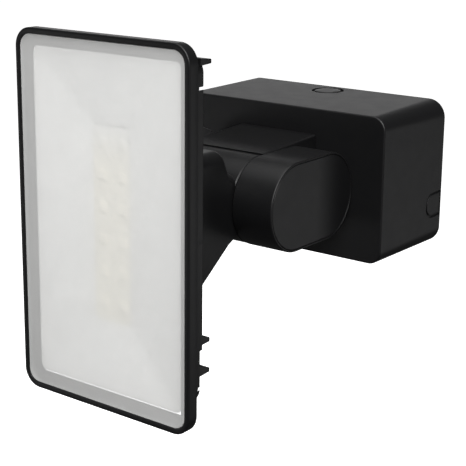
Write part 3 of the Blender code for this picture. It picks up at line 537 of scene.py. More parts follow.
def reflector_white(name, colour):
    """White reflector sheet with a faint orange peel."""
    finish = Finish(name, colour, 0.42)
    cloud = finish.noise(60.0, 3.0)
    peel = finish.noise(1500.0, 2.0)
    tone = finish.mixed(finish.ranged(cloud, 0.0, 1.0), shade(colour, 0.96), colour)
    return finish.set(base_color=tone, roughness=finish.ranged(cloud, 0.38, 0.46),
                      normal=finish.bump(peel, 0.00003, 0.4))


def light_board(name, colour, warm):
    """White solder mask, warmer in the middle strip that carries the light sources."""
    finish = Finish(name, colour, 0.45)
    strip = finish.ranged(finish.maths("ABSOLUTE", finish.axis("X")), 1.0, 0.0, 0.012, 0.022)
    upper = finish.ranged(finish.axis("Z"), 1.0, 0.0, 0.030, 0.060)
    grain = finish.noise(1900.0, 2.0)
    tone = finish.mixed(finish.maths("MULTIPLY", strip, upper), colour, warm)
    return finish.set(base_color=tone, roughness=finish.ranged(grain, 0.40, 0.52),
                      normal=finish.bump(grain, 0.00002, 0.4))


def make_finishes(settings):
    """Every finish by the slot it belongs to; a slot with two uses has a second, longer name."""
    casting = tuple(settings.casting)
    plastic = tuple(settings.plastic)
    cover = tuple(settings.cover)
    satin = settings.casting_roughness
    matt = settings.plastic_roughness
    return {
        "black_casting": powder_coat("powder_coated_casting", casting, satin),
        "black_frame": powder_coat("powder_coated_frame", casting, satin, 3000.0, 0.00002),
        "box_plastic": moulded_plastic("moulded_box_plastic", plastic, matt),
        "black_plastic": moulded_plastic("moulded_cap_plastic", plastic, matt - 0.03, 2200.0, 0.00003),
        "frosted_cover": opal_cover("opal_cover", cover, settings.cover_alpha),
        "white_reflector": reflector_white("white_reflector_sheet", (0.90, 0.90, 0.89)),
        "white_board": light_board("white_light_board", (0.88, 0.88, 0.87), (0.93, 0.90, 0.80)),
        "thermal_pad": soft_rubber("grey_thermal_pad", (0.33, 0.36, 0.40), 0.85),
        "rubber": soft_rubber("black_rubber", (0.012, 0.012, 0.012), 0.78),
        "steel": brushed_metal("stainless_steel", (0.56, 0.56, 0.55), 0.30),
        "black_screw": powder_coat("blackened_steel", (0.020, 0.020, 0.022), 0.36, 3600.0, 0.00001),
        "zinc_plate": zinc_sheet("zinc_plated_sheet", (0.46, 0.47, 0.48), 0.42),
        "grey_plastic": translucent_plastic("light_grey_plastic", (0.50, 0.50, 0.49), 0.50),
        "nylon": translucent_plastic("natural_nylon", (0.68, 0.66, 0.60), 0.48),
    }


FINISHES = {}


def finish_for(slot):
    if not FINISHES:
        FINISHES.update(make_finishes(bpy.context.scene.lamp_finish))
    return FINISHES[slot]


# ---------------------------------------------------------------- wall box
def box_sizes(out, settings):
    """Half width, half height and corner radius at a distance from the wall: straight lines between
    the sizes at the wall and at the front."""
    share = out / BOX_DEPTH
    radius = settings.back_radius + (settings.front_radius - settings.back_radius) * share
    return BOX_HIGH.x - settings.taper * share, BOX_HIGH.z - settings.taper * share, radius


def box_ring(out, inset, settings, top_cuts, side_cuts):
    """The box's outline with extra points on its top and right edges, for the knock-outs' windows."""
    half_x, half_z, radius = box_sizes(out, settings)
    half_x, half_z, radius = half_x - inset, half_z - inset, max(radius - inset, 0.0008)
    near = 0.0006
    quarter = [arc((sx * (half_x - radius), sz * (half_z - radius)), radius, start, start + 90)
               for sx, sz, start in ((1, 1, 0), (-1, 1, 90), (-1, -1, 180), (1, -1, 270))]
    top = np.stack([top_cuts, np.full(len(top_cuts), half_z)], axis=1)
    side = np.stack([np.full(len(side_cuts), half_x), side_cuts], axis=1)
    flat = half_x - radius - near
    tall = half_z - radius - near
    return np.concatenate([
        quarter[0], [[flat, half_z]], top, [[-flat, half_z]],
        quarter[1], [[-half_x, tall], [-half_x, -tall]],
        quarter[2], [[-flat, -half_z], [flat, -half_z]],
        quarter[3], [[half_x, -tall]], side, [[half_x, tall]],
    ])


class Window:
    """The part of a flat wall that a knock-out is set into, and its border on the wall's grid."""

    def __init__(self, low, high, out_low, out_high, steps):
        self.across = np.linspace(low, high, steps + 1)
        self.outs = np.linspace(out_low, out_high, steps + 1)

    def loop(self):
        """Closed walk round the window, as (across, out)."""
        a, o = self.across, self.outs
        return np.concatenate([
            np.stack([a[:-1], np.full(len(a) - 1, o[0])], axis=1),
            np.stack([np.full(len(o) - 1, a[-1]), o[:-1]], axis=1),
            np.stack([a[:0:-1], np.full(len(a) - 1, o[-1])], axis=1),
            np.stack([np.full(len(o) - 1, a[0]), o[:0:-1]], axis=1),
        ])


def follow(outline, walk, centre):
    """Points of a closed outline at the same turn about centre as the points of walk."""
    ring = np.asarray(outline) - centre
    turns = np.unwrap(np.arctan2(ring[:, 1], ring[:, 0]))
    if turns[-1] < turns[0]:
        ring, turns = ring[::-1], np.unwrap(np.arctan2(ring[::-1, 1], ring[::-1, 0]))
    reach = np.hypot(ring[:, 0], ring[:, 1])
    turns = np.concatenate([turns - math.tau, turns, turns + math.tau])
    reach = np.tile(reach, 3)
    wanted = np.arctan2(walk[:, 1] - centre[1], walk[:, 0] - centre[0])
    radius = np.interp(wanted, turns, reach)
    return centre + np.stack([radius * np.cos(wanted), radius * np.sin(wanted)], axis=1)


def pocket(window, outline, centre, place, depth, edge=0.0003):
    """Skin from a window's border to a pocket: the border shrinks in straight lines to the outline,
    turns over a small round edge, and drops to a flat floor.  place(points, depth) puts (across,
    out) points on the wall."""
    walk = window.loop()
    rim = follow(outline, walk, centre)
    away = (rim - centre) / np.linalg.norm(rim - centre, axis=1)[:, None]
    rings = [place(walk + (rim + edge * away - walk) * share, 0.0) for share in (0.0, 0.5, 0.9, 1.0)]
    for inset, rise in edge_round(edge, 4)[1:]:
        rings.append(place(rim + (edge - rise) * away, inset))
    rings.append(place(rim, depth))
    rings = np.asarray(rings)
    points, faces = loft(rings)
    return points, faces[:-2] + faces[-1:]


def notch_outline(half, end, corner, start):
    """The side knock-out as (across, out): straight sides and a round inner end."""
    first = arc((half - corner, end - corner), corner, 0, 90, 10)
    second = arc((corner - half, end - corner), corner, 90, 180, 10)
    return np.concatenate([[[half, start]], first, second, [[-half, start]]])


def spread(outline, count):
    """The same closed outline with points at even distances."""
    ring = np.concatenate([outline, outline[:1]])
    travel = np.concatenate([[0.0], np.cumsum(np.linalg.norm(np.diff(ring, axis=0), axis=1))])
    wanted = np.linspace(0.0, travel[-1], count, endpoint=False)
    return np.stack([np.interp(wanted, travel, ring[:, k]) for k in (0, 1)], axis=1)


def top_entry():
    """Centre (x, out) and radius of the round knock-out."""
    low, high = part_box("top_cable_knockout")
    return np.array([0.5 * (low.x + high.x), -0.5 * (low.y + high.y)]), 0.5 * (high.x - low.x)


def side_entry():
    """Centre height, half height and inner end (out) of the side knock-out."""
    low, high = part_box("side_cable_knockout")
    return 0.5 * (low.z + high.z), 0.5 * (high.z - low.z), -low.y


def on_top(settings):
    def place(points, depth):
        half_z = BOX_HIGH.z - settings.taper * points[:, 1] / BOX_DEPTH
        return np.stack([points[:, 0], -points[:, 1], half_z - depth], axis=1)
    return place


def on_side(settings, height):
    def place(points, depth):
        half_x = BOX_HIGH.x - settings.taper * points[:, 1] / BOX_DEPTH
        return np.stack([half_x - depth, -points[:, 1], height + points[:, 0]], axis=1)
    return place


class LAMP_OT_wall_box(bpy.types.Operator):
    """Build the moulded wall box with its knock-out pockets"""

    bl_idname = "lamp.wall_box"
    bl_label = "Wall box"

    def execute(self, context):
        s = context.scene.lamp_box
        centre, radius = top_entry()
        height, half, end = side_entry()
        top = Window(centre[0] - radius - 0.0018, centre[0] + radius + 0.0018, 0.0022,
                     2 * centre[1] - 0.0022, 18)
        side = Window(-half - 0.0020, half + 0.0020, 0.0007, end + 0.0022, 16)
        outs = np.unique(np.round(np.concatenate([top.outs, side.outs]), 7))
        edge = edge_round(s.front_edge)
        back = edge_round(s.back_edge, 3)[::-1]
        outer = [(inset, s.back_edge - rise) for inset, rise in back]
        outer += [(0.0, out) for out in outs if out > s.back_edge + 1e-6]
        outer += [(0.0, BOX_DEPTH - s.front_edge - 0.001)]
        outer += [(inset, BOX_DEPTH - s.front_edge + rise) for inset, rise in edge]
        outer += [(s.front_edge + 0.001, BOX_DEPTH)]
        inner = [(s.wall + 0.001, BOX_DEPTH - s.wall), (s.wall, BOX_DEPTH - s.wall),
                 (s.wall, BOX_DEPTH - s.wall - 0.001), (s.wall, LEDGE_OUT + 0.0005),
                 (s.wall, LEDGE_OUT), (s.rim_wall, LEDGE_OUT), (s.rim_wall, LEDGE_OUT - 0.0005),
                 (s.rim_wall, s.back_edge), (s.rim_wall, 0.0)]
        top_x = top.across[::-1]
        side_z = height + side.across
        rings = [at_out(box_ring(out, inset, s, top_x, side_z), out) for inset, out in outer]
        last = rings[-1]
        turn = np.arctan2(last[:, 2], last[:, 0])
        mouth = at_out(SWIVEL_HOLE * np.stack([np.cos(turn), np.sin(turn)], axis=1), BOX_DEPTH)
        throat = mouth + (0.0, s.wall, 0.0)
        rings += [mouth, throat]
        rings += [at_out(box_ring(out, inset, s, top_x, side_z), out) for inset, out in inner]
        points, faces = loft(rings, ends=False)
        around = len(rings[0])
        place_top = on_top(s)
        place_side = on_side(s, height)
        centres = np.array([points[face].mean(axis=0) for face in faces[:around * (len(outer) - 1)]])
        x, out, z = centres[:, 0], -centres[:, 1], centres[:, 2]
        in_top = (x > top.across[0]) & (x < top.across[-1]) & (z > 0.9 * BOX_HIGH.z)
        in_top &= (out > top.outs[0]) & (out < top.outs[-1])
        in_side = (z > side_z[0]) & (z < side_z[-1]) & (x > 0.9 * BOX_HIGH.x)
        in_side &= (out > side.outs[0]) & (out < side.outs[-1])
        keep = ~(in_top | in_side)
        kept = [face for face, shown in zip(faces, keep) if shown] + faces[len(keep):]
        ring = arc(centre, radius + GAP, 0, 360, 144)[:-1]
        top_pocket = pocket(top, ring, centre, place_top, s.groove)
        notch = spread(notch_outline(half + GAP, end + GAP, s.notch_radius, SIDE_START), 400)
        middle = np.array([0.0, 0.5 * (SIDE_START + end)])
        side_pocket = pocket(side, notch, middle, place_side, s.groove - 0.0002)
        piece("wall_box_moulding", [(points, kept), top_pocket, side_pocket],
              finish_for("box_plastic"), "wall_box", "box_plastic", "wall_box_cover")
        return {"FINISHED"}


class LAMP_OT_knockouts(bpy.types.Operator):
    """Build the round and the U-shaped cable knock-outs"""

    bl_idname = "lamp.knockouts"
    bl_label = "Cable knock-outs"

    def execute(self, context):
        s = context.scene.lamp_box
        centre, radius = top_entry()
        top = on_top(s)(centre[None], 0.0)[0]
        inner = radius - s.top_groove
        profile = [(radius, -0.0012), (radius, -0.0010), (inner, -0.0010), (inner, -0.0004),
                   (inner - 0.0001, -0.0002), (inner - 0.0003, -0.0001), (0.5 * radius, -0.0001)]
        normal = Vector((0.0, -s.taper, BOX_DEPTH)).normalized()
        rings = turned(profile, top, normal, (1.0, 0.0, 0.0))
        piece("top_knockout_disc", [loft(rings)], finish_for("box_plastic"), "wall_box",
              "box_plastic", "top_cable_knockout")
        height, half, end = side_entry()
        place = on_side(s, height)
        rings = []
        for step, depth in ((0.0, 0.00105), (0.0, 0.0004), (0.0001, 0.0002), (0.0003, 0.0001),
                            (0.0015, 0.0001)):
            inset = s.side_groove + step
            outline = notch_outline(half - inset, end - inset, s.notch_radius - inset,
                                    SIDE_START + GAP + step)
            rings.append(place(outline, depth))
        piece("side_knockout_tongue", [loft(rings)], finish_for("box_plastic"), "wall_box",
              "box_plastic", "side_cable_knockout")
        return {"FINISHED"}


# ---------------------------------------------------------------- screws
def screw_profile(radius, height, shank, reach):
    """Pan head as (radius, along) rows: shank, flat underside, domed rim, nearly flat crown."""
    turn = np.radians(np.linspace(0, 78, 9))
    dome = np.stack([radius * np.cos(turn), height * (0.45 + 0.55 * np.sin(turn))], axis=1)
    across = np.linspace(dome[-1, 0], 0.02 * radius, 12)[1:]
    crown = np.stack([across, height * (1.0 - 0.005 * across / radius)], axis=1)
    stem = [(shank * 0.6, -reach), (shank, shank - reach), (shank, 0.0), (radius * 0.96, 0.0),
            (radius, height * 0.12)]
    return np.concatenate([stem, dome, crown])


def cross_recess(radius, height):
    """Depth of the cross at a radius and turn: four arms of half width 0.15 r that end at 0.6 r,
    with eased walls."""
    def bend(radii, turns):
        off_arm = np.minimum(np.abs(radii * np.cos(turns)), np.abs(radii * np.sin(turns)))
        inside = np.clip((0.15 * radius - off_arm) / (0.06 * radius) + 0.5, 0.0, 1.0)
        reach = np.clip((0.60 * radius - radii) / (0.10 * radius), 0.0, 1.0)
        return -0.62 * height * inside * inside * (3 - 2 * inside) * reach
    return bend


def build_screw(name, node, axis, radius, height, shank, reach, body):
    """A cross-head screw in the place of its node; axis points out of the head."""
    low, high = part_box(node)
    middle = 0.5 * (low + high)
    axis = Vector(axis)
    head_top = max(low.dot(axis), high.dot(axis))
    centre = middle + axis * (head_top - height - middle.dot(axis))
    rings = turned(screw_profile(radius, height, shank, reach), centre, axis, (1.0, 0.0, 0.0), 72,
                   cross_recess(radius, height))
    piece(name, [loft(rings)], finish_for("black_screw"), body, "black_screw", node)


class LAMP_OT_screws(bpy.types.Operator):
    """Build the cross-head screws of the cover and the frame"""

    bl_idname = "lamp.screws"
    bl_label = "Screws"

    def execute(self, context):
        for index in range(1, 7):
            build_screw(f"frame_screw_head_{index}", f"frame_screw_{index}", (0, 1, 0),
                        0.0026, 0.0016, 0.0011, 0.0056, "head")
        for side in ("left", "right"):
            build_screw(f"cover_screw_head_{side}", f"cover_screw_{side}", (0, 0, -1),
                        0.0037, 0.0022, 0.0019, 0.0118, "wall_box")
        return {"FINISHED"}


# ---------------------------------------------------------------- arm
class LAMP_OT_arm(bpy.types.Operator):
    """Build the swivelling arm: a bar with round ends, its root block, slot and spigot"""

    bl_idname = "lamp.arm"
    bl_label = "Arm"

    def execute(self, context):
        s = context.scene.lamp_arm
        radius = CAP_RADIUS + s.cap_inset + GAP
        recess = ARM_HALF - 0.0031
        edge = edge_round(s.edge)
        half = [(s.cap_inset, recess), (s.cap_inset, ARM_HALF - 0.0002), (s.cap_inset - 0.0001, ARM_HALF),
                (s.edge + 0.0001, ARM_HALF)]
        half += [(inset, ARM_HALF - s.edge + rise) for inset, rise in edge[::-1]]
        half += [(0.0, ARM_HALF - s.edge - 0.001), (0.0, s.slot_half + 0.001)]
        stations = [(inset, -x) for inset, x in half] + [(inset, x) for inset, x in half[::-1]]
        bar = loft([at_x(pill(radius - inset), x) for inset, x in stations])
        spigot_out = out_span("arm_casting")[0]
        root_out = spigot_out + SPIGOT_LENGTH
        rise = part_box("arm_casting")[1].z
        nose = TILT_OUT - 0.002
        sections = [(root_out, 0.0005), (root_out + 0.00015, 0.0002), (root_out + 0.0005, 0.0), (nose, 0.0)]
        rings = []
        for out, inset in sections:
            high = rise + (s.root_nose_rise - rise) * (out - root_out) / (nose - root_out)
            rings.append(at_out(rounded(s.root_half - inset, high - inset, s.root_radius, steps=6), out))
        root = loft(rings)
        ahead, right = (0.0, -1.0, 0.0), (1.0, 0.0, 0.0)
        profile = [(SPIGOT_RADIUS - 0.0005, 0.0), (SPIGOT_RADIUS, 0.0005),
                   (SPIGOT_RADIUS, SPIGOT_LENGTH + 0.010)]
        spigot = loft(turned(profile, (0.0, -spigot_out, 0.0), ahead, right))
        cable = loft(turned([(CABLE_RADIUS, -0.005), (CABLE_RADIUS, 0.055)],
                            (0.0, -spigot_out, 0.0), ahead, right, 48))
        slot = loft([at_x(self.slot_outline(s), x) for x in (-s.slot_half, s.slot_half)])
        mesh = combine("arm_casting_finished", bar, [("UNION", root), ("UNION", spigot),
                                                     ("DIFFERENCE", slot), ("DIFFERENCE", cable)])
        piece("arm_bar", mesh, finish_for("black_casting"), "arm", "black_casting", "arm_casting")
        return {"FINISHED"}

    @staticmethod
    def slot_outline(s):
        """The slot as (out, z): a round seat behind the tilt axis, open to the front."""
        reach = 0.045
        top = 180 - math.degrees(math.acos(SLOT_UPPER / s.slot_radius))
        bottom = 180 + math.degrees(math.acos(SLOT_LOWER / s.slot_radius))
        seat = arc((TILT_OUT, 0.0), s.slot_radius, top, bottom, 60)
        ahead = TILT_OUT + reach
        return np.concatenate([[[ahead, reach], [TILT_OUT - SLOT_UPPER, reach]], seat,
                               [[TILT_OUT - SLOT_LOWER, -reach], [ahead, -reach]]])


class LAMP_OT_end_caps(bpy.types.Operator):
    """Build the flat covers in the arm's ends"""

    bl_idname = "lamp.end_caps"
    bl_label = "Arm end caps"

    def execute(self, context):
        lip = 0.0004
        for side, sign in (("left", -1), ("right", 1)):
            stations = [(0.0021, ARM_HALF - 0.0030), (0.0021, ARM_HALF - 0.0027),
                        (0.0, ARM_HALF - 0.0027), (0.0, ARM_HALF - lip - 0.0003)]
            stations += [(inset, ARM_HALF - lip + rise) for inset, rise in edge_round(lip, 4)]
            stations += [(lip + 0.0004, ARM_HALF), (lip + 0.0030, ARM_HALF)]
            rings = [at_x(pill(CAP_RADIUS - inset), sign * x) for inset, x in stations]
            piece(f"arm_cap_{side}", [loft(rings)], finish_for("black_plastic"), "arm",
                  "black_plastic", f"arm_end_cap_{side}")
        return {"FINISHED"}


# ---------------------------------------------------------------- lamp head
def neck_section(half, high, low, top_radius, low_radius):
    """Neck section as (x, z): large round corners above, small ones below."""
    upper = min(top_radius, 0.45 * (high - low))
    right = arc((half - upper, high - upper), upper, 0, 90)
    left = arc((upper - half, high - upper), upper, 90, 180)
    low_left = arc((low_radius - half, low + low_radius), low_radius, 180, 270, 5)
    low_right = arc((half - low_radius, low + low_radius), low_radius, 270, 360, 5)
    near = 0.0005
    flat = half - upper - near
    side = high - upper - near
    return np.concatenate([right, [[flat, high], [-flat, high]], left, [[-half, side]],
                           low_left, low_right, [[half, side]]])


class LAMP_OT_housing(bpy.types.Operator):
    """Build the head's back casting with its ribs, neck and knuckle"""

    bl_idname = "lamp.housing"
    bl_label = "Head housing"

    def execute(self, context):
        s = context.scene.lamp_head
        half_x = HOUSING_HIGH.x
        middle = 0.5 * (HOUSING_HIGH.z + HOUSING_LOW.z)
        half_z = 0.5 * (HOUSING_HIGH.z - HOUSING_LOW.z)
        edge = 0.0010

        def tray_outline(inset):
            return rounded(half_x - inset, half_z - inset, 0.0080 - inset, middle)

        stations = [(0.0022, s.rear_out), (edge, s.rear_out)]
        stations += [(inset, s.rear_out + edge - rise) for inset, rise in edge_round(edge)[::-1]]
        stations += [(0.0, s.rear_out + 0.0020), (0.0, HOUSING_FRONT)]
        tray = loft(sweep_out(stations, tray_outline))
        steps = [("DIFFERENCE", self.low_step(s))]
        steps += [("UNION", self.rib(s, half_x, *rib)) for rib in RIBS]
        steps += [("UNION", self.neck(s)), ("UNION", self.knuckle())]
        hollow = rounded(*POCKET)
        steps.append(("DIFFERENCE", loft([at_out(hollow, POCKET_OUT), at_out(hollow, HEAD_OUT)])))
        for index in range(1, 7):
            low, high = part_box(f"frame_screw_{index}")
            place = (0.5 * (low.x + high.x), -0.2100, 0.5 * (low.z + high.z))
            sink = turned([(0.0031, 0.0), (0.0031, 0.0162)], place, (0, -1, 0), (1, 0, 0), 40)
            steps.append(("DIFFERENCE", loft(sink)))
        mesh = combine("head_housing_finished", tray, steps)
        piece("head_back_casting", mesh, finish_for("black_casting"), "head", "black_casting",
              "head_housing")
        return {"FINISHED"}

    @staticmethod
    def low_step(s):
        """Block that thins the housing below the lowest ribs."""
        ring = rounded(0.0700, 0.0205, 0.0010, -0.0795)
        return loft([at_out(ring, s.rear_out - 0.004), at_out(ring, s.low_rear_out)])

    @staticmethod
    def rib(s, half_x, height, above, below):
        """Cooling rib: a wedge as (out, z) with two round corners at its tip, carried across the
        head and drawn in at both ends."""
        r = s.rib_edge
        root = s.low_rear_out + 0.0004
        tip = s.rib_tip_out + r
        high = arc((tip, s.rib_tip - r), r, 90, 180, 5)
        low = arc((tip, r - s.rib_tip), r, 180, 270, 5)
        outline = np.concatenate([[[root, above]], high, low, [[root, -below]]]) + (0.0, height)
        middle = np.array([s.low_rear_out, height])
        rings = []
        for inset, rise in edge_round(r):
            rings.append(at_x(middle + (outline - middle) * (1.0 - inset / 0.0090), half_x - r + rise))
        mirror = [ring * (-1.0, 1.0, 1.0) for ring in rings[::-1]]
        return loft(mirror + rings)

    @staticmethod
    def neck(s):
        """Neck: rounded sections along the way out; its top is flat, its rear leans forward above
        the knuckle and a small roll joins the two."""
        bend = np.radians(np.linspace(160, 90, 9))
        ahead = [0.1846, 0.1960, 0.2100, 0.2246]
        along = NECK_ROLL_OUT + NECK_ROLL * np.cos(bend)
        outs = np.concatenate([[out for out, high in NECK_REAR], along, ahead])
        rolled = NECK_TOP - NECK_ROLL + NECK_ROLL * np.sin(bend)
        highs = np.concatenate([[high for out, high in NECK_REAR], rolled, [NECK_TOP] * len(ahead)])
        lows = np.interp(outs, *zip(*NECK_UNDER))
        rings = []
        for out, high, low in zip(outs, highs, lows):
            rings.append(at_out(neck_section(KNUCKLE_HALF, high, low, s.neck_radius, 0.0012), out))
        return loft(rings)

    @staticmethod
    def knuckle():
        """Round knuckle on the tilt axis, its ends lightly rounded."""
        radius = TILT_OUT - KNUCKLE_REAR
        edge = 0.0006
        profile = [(radius - edge, -KNUCKLE_HALF), (radius, edge - KNUCKLE_HALF),
                   (radius, KNUCKLE_HALF - edge), (radius - edge, KNUCKLE_HALF)]
        return loft(turned(profile, (0.0, -TILT_OUT, 0.0), (1.0, 0.0, 0.0), (0.0, 1.0, 0.0), 120))


class LAMP_OT_front_frame(bpy.types.Operator):
    """Build the frame round the frosted cover"""

    bl_idname = "lamp.front_frame"
    bl_label = "Front frame"

    def execute(self, context):
        s = context.scene.lamp_head
        ledge = out_span("diffuser_seal")[0] - GAP
        seat = s.bezel - GAP
        window = s.bezel + 0.0050
        stations = [(0.0004, FRAME_REAR), (0.0001, FRAME_REAR + 0.0001), (0.0, FRAME_REAR + 0.0004),
                    (0.0, HEAD_OUT - s.frame_edge - 0.0008)]
        stations += [(inset, HEAD_OUT - s.frame_edge + rise) for inset, rise in edge_round(s.frame_edge)]
        stations += [(s.frame_edge + 0.0003, HEAD_OUT), (seat - 0.0004, HEAD_OUT),
                     (seat - 0.0001, HEAD_OUT - 0.0001), (seat, HEAD_OUT - 0.0003),
                     (seat, ledge + 0.0002), (seat, ledge), (seat + 0.0003, ledge),
                     (window - 0.0002, ledge), (window, ledge), (window, FRAME_REAR),
                     (window - 0.0004, FRAME_REAR)]

        def outline(inset):
            return rounded(FRAME_HIGH.x - inset, FRAME_HIGH.z - inset, max(s.corner - inset, 0.0012))

        piece("bezel_frame", [loft(sweep_out(stations, outline), ends=False)],
              finish_for("black_frame"), "head", "black_frame", "front_frame")
        return {"FINISHED"}


class LAMP_OT_diffuser(bpy.types.Operator):
    """Build the frosted cover"""

    bl_idname = "lamp.diffuser"
    bl_label = "Frosted cover"

    def execute(self, context):
        s = context.scene.lamp_head
        rear, front = out_span("diffuser")
        edge = 0.0004
        stations = [(0.0, rear), (0.0, front - edge - 0.0002)]
        stations += [(inset, front - edge + rise) for inset, rise in edge_round(edge, 4)]
        stations += [(edge + 0.0004, front), (edge + 0.0040, front)]

        def outline(inset):
            return rounded(DIFFUSER_HIGH.x - inset, DIFFUSER_HIGH.z - inset,
                           s.corner - s.bezel - inset)

        piece("frosted_front_cover", [loft(sweep_out(stations, outline))],
              finish_for("frosted_cover"), "head", "frosted_cover", "diffuser")
        return {"FINISHED"}


class LAMP_OT_reflector(bpy.types.Operator):
    """Build the white reflector tray behind the cover"""

    bl_idname = "lamp.reflector"
    bl_label = "Reflector tray"

    def execute(self, context):
        s = context.scene.lamp_head
        back, front = out_span("reflector_tray")
        wall = 0.0007
        wide = (s.tray_half_x, s.tray_half_z, 0.0040)

        def ring(share, inset, lift):
            half_x, half_z, radius = [w + (n - w) * share for w, n in zip(wide, TRAY_BACK)]
            return at_out(rounded(half_x - inset, half_z - inset, radius),
                          front + (back - front) * share + lift)

        inner = [ring(share, wall, 0.0) for share in (0.0, 0.02, 0.5, 0.98, 1.0)]
        outer = [ring(share, 0.0, -0.0001) for share in (1.0, 0.5, 0.0)]
        piece("reflector_pan", [loft(inner + outer, ends=False)], finish_for("white_reflector"),
              "head", "white_reflector", "reflector_tray")
        return {"FINISHED"}


# ---------------------------------------------------------------- finishes of the carried-over nodes
KEPT_NODES = {
    "wall_plate": "zinc_plate", "box_seal": "rubber", "rear_cable_grommet": "rubber",
    "led_driver": "grey_plastic", "terminal_block": "nylon", "driver_screw_left": "steel",
    "driver_screw_right": "steel", "earth_screw": "steel", "terminal_screw_1": "steel",
    "terminal_screw_2": "steel", "terminal_screw_3": "steel", "swivel_stop_pin": "steel",
    "friction_washer_left": "nylon", "friction_washer_right": "nylon",
    "spring_washer_left": "steel", "spring_washer_right": "steel", "pivot_bolt_left": "steel",
    "pivot_bolt_right": "steel", "swivel_o_ring": "rubber", "swivel_slip_washer": "nylon",
    "swivel_nut": "zinc_plate", "diffuser_seal": "rubber", "led_board": "white_board",
    "thermal_pad": "thermal_pad", "lead_grommet": "rubber",
}


class LAMP_OT_inner_finishes(bpy.types.Operator):
    """Give every carried-over node its own detailed finish"""

    bl_idname = "lamp.inner_finishes"
    bl_label = "Inner parts' finishes"

    def execute(self, context):
        for node, slot in KEPT_NODES.items():
            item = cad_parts[node]
            item.data.materials.clear()
            item.data.materials.append(finish_for(slot))
        return {"FINISHED"}


# ---------------------------------------------------------------- stage
def area_light(name, place, target, size, power, colour=(1.0, 1.0, 1.0)):
    lamp = bpy.data.lights.new(name, "AREA")
    lamp.shape = "RECTANGLE"
    lamp.size, lamp.size_y = size
    lamp.energy = power
    lamp.color = colour
    item = bpy.data.objects.new(name, lamp)
    bpy.context.scene.collection.objects.link(item)
    item.location = place
    item.rotation_euler = (Vector(target) - Vector(place)).to_track_quat("-Z", "Y").to_euler()
    return item


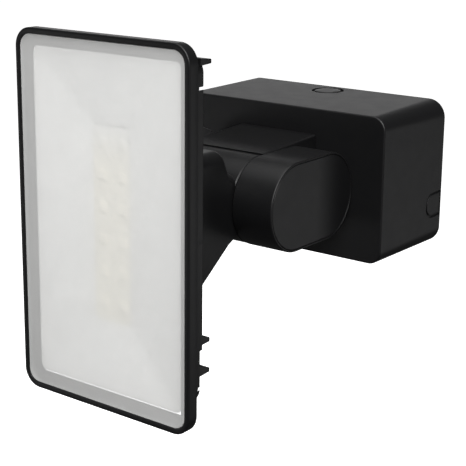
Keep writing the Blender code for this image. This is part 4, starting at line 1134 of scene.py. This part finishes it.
class LAMP_OT_stage(bpy.types.Operator):
    """Build the floor, the lights and the camera"""

    bl_idname = "lamp.stage"
    bl_label = "Stage"

    def execute(self, context):
        s = context.scene.lamp_stage
        self.floor(s)
        self.world(s)
        middle = (0.0, -0.12, 0.0)
        area_light("key_light", (0.95, -1.10, 1.10), middle, (1.4, 1.4), s.key)
        area_light("top_light", (0.0, -0.10, 1.30), middle, (1.6, 1.2), s.top)
        area_light("back_light", (-0.95, 1.35, 0.35), middle, (1.5, 0.5), s.back)
        area_light("side_light", (1.25, 1.13, -0.43), middle, (1.0, 0.7), s.side)
        area_light("fill_light", (-1.20, -1.15, -0.33), middle, (0.5, 0.5), s.fill)
        self.camera(context, s)
        context.scene.view_settings.view_transform = "Standard"
        return {"FINISHED"}

    @staticmethod
    def floor(s):
        """Large pale floor that curves up far behind the lamp."""
        low = FRAME_LOW.z - s.floor_drop
        across = np.linspace(-14.0, 14.0, 3)
        bend = np.radians(np.linspace(6, 90, 15))
        along = np.concatenate([np.linspace(-14.0, 10.0, 5), 10.0 + 4.0 * np.sin(bend)])
        rise = np.concatenate([np.zeros(5), 4.0 * (1 - np.cos(bend))])
        grid_x, grid_y = np.meshgrid(across, along)
        grid_z = np.repeat(rise[:, None], len(across), axis=1) + low
        points = np.stack([grid_x, grid_y, grid_z], axis=-1).reshape(-1, 3)
        index = np.arange(len(points)).reshape(grid_x.shape)
        quads = np.stack([index[:-1, :-1], index[:-1, 1:], index[1:, 1:], index[1:, :-1]], axis=-1)
        mesh = bpy.data.meshes.new("studio_floor")
        mesh.from_pydata(points.tolist(), [], quads.reshape(-1, 4).tolist())
        mesh.shade_smooth()
        pale = Finish("pale_floor", (0.90, 0.90, 0.90), 0.7)
        pale.shader.inputs["Emission Color"].default_value = (1.0, 1.0, 1.0, 1.0)
        pale.shader.inputs["Emission Strength"].default_value = 1.0
        mesh.materials.append(pale.material)
        item = bpy.data.objects.new("studio_floor", mesh)
        bpy.context.scene.collection.objects.link(item)
        item.visible_glossy = False
        item.visible_diffuse = False

    @staticmethod
    def world(s):
        """White to the eye, dim as a light, so that only the lamps light the pieces."""
        world = bpy.data.worlds.new("studio")
        world.use_nodes = True
        tree = world.node_tree
        tree.nodes.clear()
        out = tree.nodes.new("ShaderNodeOutputWorld")
        mix = tree.nodes.new("ShaderNodeMixShader")
        path = tree.nodes.new("ShaderNodeLightPath")
        dim = tree.nodes.new("ShaderNodeBackground")
        seen = tree.nodes.new("ShaderNodeBackground")
        dim.inputs["Strength"].default_value = s.ambient
        seen.inputs["Color"].default_value = (1.0, 1.0, 1.0, 1.0)
        seen.inputs["Strength"].default_value = 1.0
        dim.inputs["Color"].default_value = (1.0, 1.0, 1.0, 1.0)
        tree.links.new(path.outputs["Is Camera Ray"], mix.inputs["Fac"])
        tree.links.new(dim.outputs["Background"], mix.inputs[1])
        tree.links.new(seen.outputs["Background"], mix.inputs[2])
        tree.links.new(mix.outputs["Shader"], out.inputs["Surface"])
        bpy.context.scene.world = world

    @staticmethod
    def camera(context, s):
        """Camera on a sphere round its target, with a small roll and shift."""
        target = Vector((0.0, -0.1204, 0.0013))
        flat = math.cos(s.elevation)
        back = Vector((math.sin(s.azimuth) * flat, -math.cos(s.azimuth) * flat, math.sin(s.elevation)))
        right = Vector((math.cos(s.azimuth), math.sin(s.azimuth), 0.0))
        up = back.cross(right)
        turned_right = right * math.cos(s.roll) + up * math.sin(s.roll)
        turned_up = up * math.cos(s.roll) - right * math.sin(s.roll)
        view = bpy.data.cameras.new("studio_camera")
        view.lens = s.lens
        view.sensor_width = 36.0
        view.shift_y = -0.1
        item = bpy.data.objects.new("studio_camera", view)
        context.scene.collection.objects.link(item)
        turn = Matrix((turned_right, turned_up, back)).transposed().to_4x4()
        item.matrix_world = Matrix.Translation(target + back * s.distance) @ turn
        context.scene.camera = item


# ---------------------------------------------------------------- panel and registration
OPERATORS = (LAMP_OT_wall_box, LAMP_OT_knockouts, LAMP_OT_arm, LAMP_OT_end_caps, LAMP_OT_housing,
             LAMP_OT_front_frame, LAMP_OT_diffuser, LAMP_OT_reflector, LAMP_OT_screws,
             LAMP_OT_inner_finishes, LAMP_OT_stage)
SETTINGS = {"lamp_box": BoxSettings, "lamp_arm": ArmSettings, "lamp_head": HeadSettings,
            "lamp_finish": FinishSettings, "lamp_stage": StageSettings}


class LAMP_PT_sidebar(bpy.types.Panel):
    """Lists the floodlight's pieces and settings"""

    bl_idname = "LAMP_PT_sidebar"
    bl_label = "Wall floodlight"
    bl_space_type = "VIEW_3D"
    bl_region_type = "UI"
    bl_category = "Floodlight"

    def draw(self, context):
        for operator in OPERATORS:
            self.layout.operator(operator.bl_idname)
        for name, group in SETTINGS.items():
            box = self.layout.box()
            box.label(text=group.__doc__)
            for key in group.__annotations__:
                box.prop(getattr(context.scene, name), key)


def register():
    for group in SETTINGS.values():
        bpy.utils.register_class(group)
    for operator in OPERATORS:
        bpy.utils.register_class(operator)
    bpy.utils.register_class(LAMP_PT_sidebar)
    for name, group in SETTINGS.items():
        setattr(bpy.types.Scene, name, PointerProperty(type=group))


def unregister():
    for name in SETTINGS:
        delattr(bpy.types.Scene, name)
    for item in (LAMP_PT_sidebar, *reversed(OPERATORS), *reversed(SETTINGS.values())):
        bpy.utils.unregister_class(item)


def main():
    register()
    bpy.ops.lamp.wall_box()
    bpy.ops.lamp.knockouts()
    bpy.ops.lamp.arm()
    bpy.ops.lamp.end_caps()
    bpy.ops.lamp.housing()
    bpy.ops.lamp.front_frame()
    bpy.ops.lamp.diffuser()
    bpy.ops.lamp.reflector()
    bpy.ops.lamp.screws()
    bpy.ops.lamp.inner_finishes()
    bpy.ops.lamp.stage()


if __name__ == "__main__":
    main()
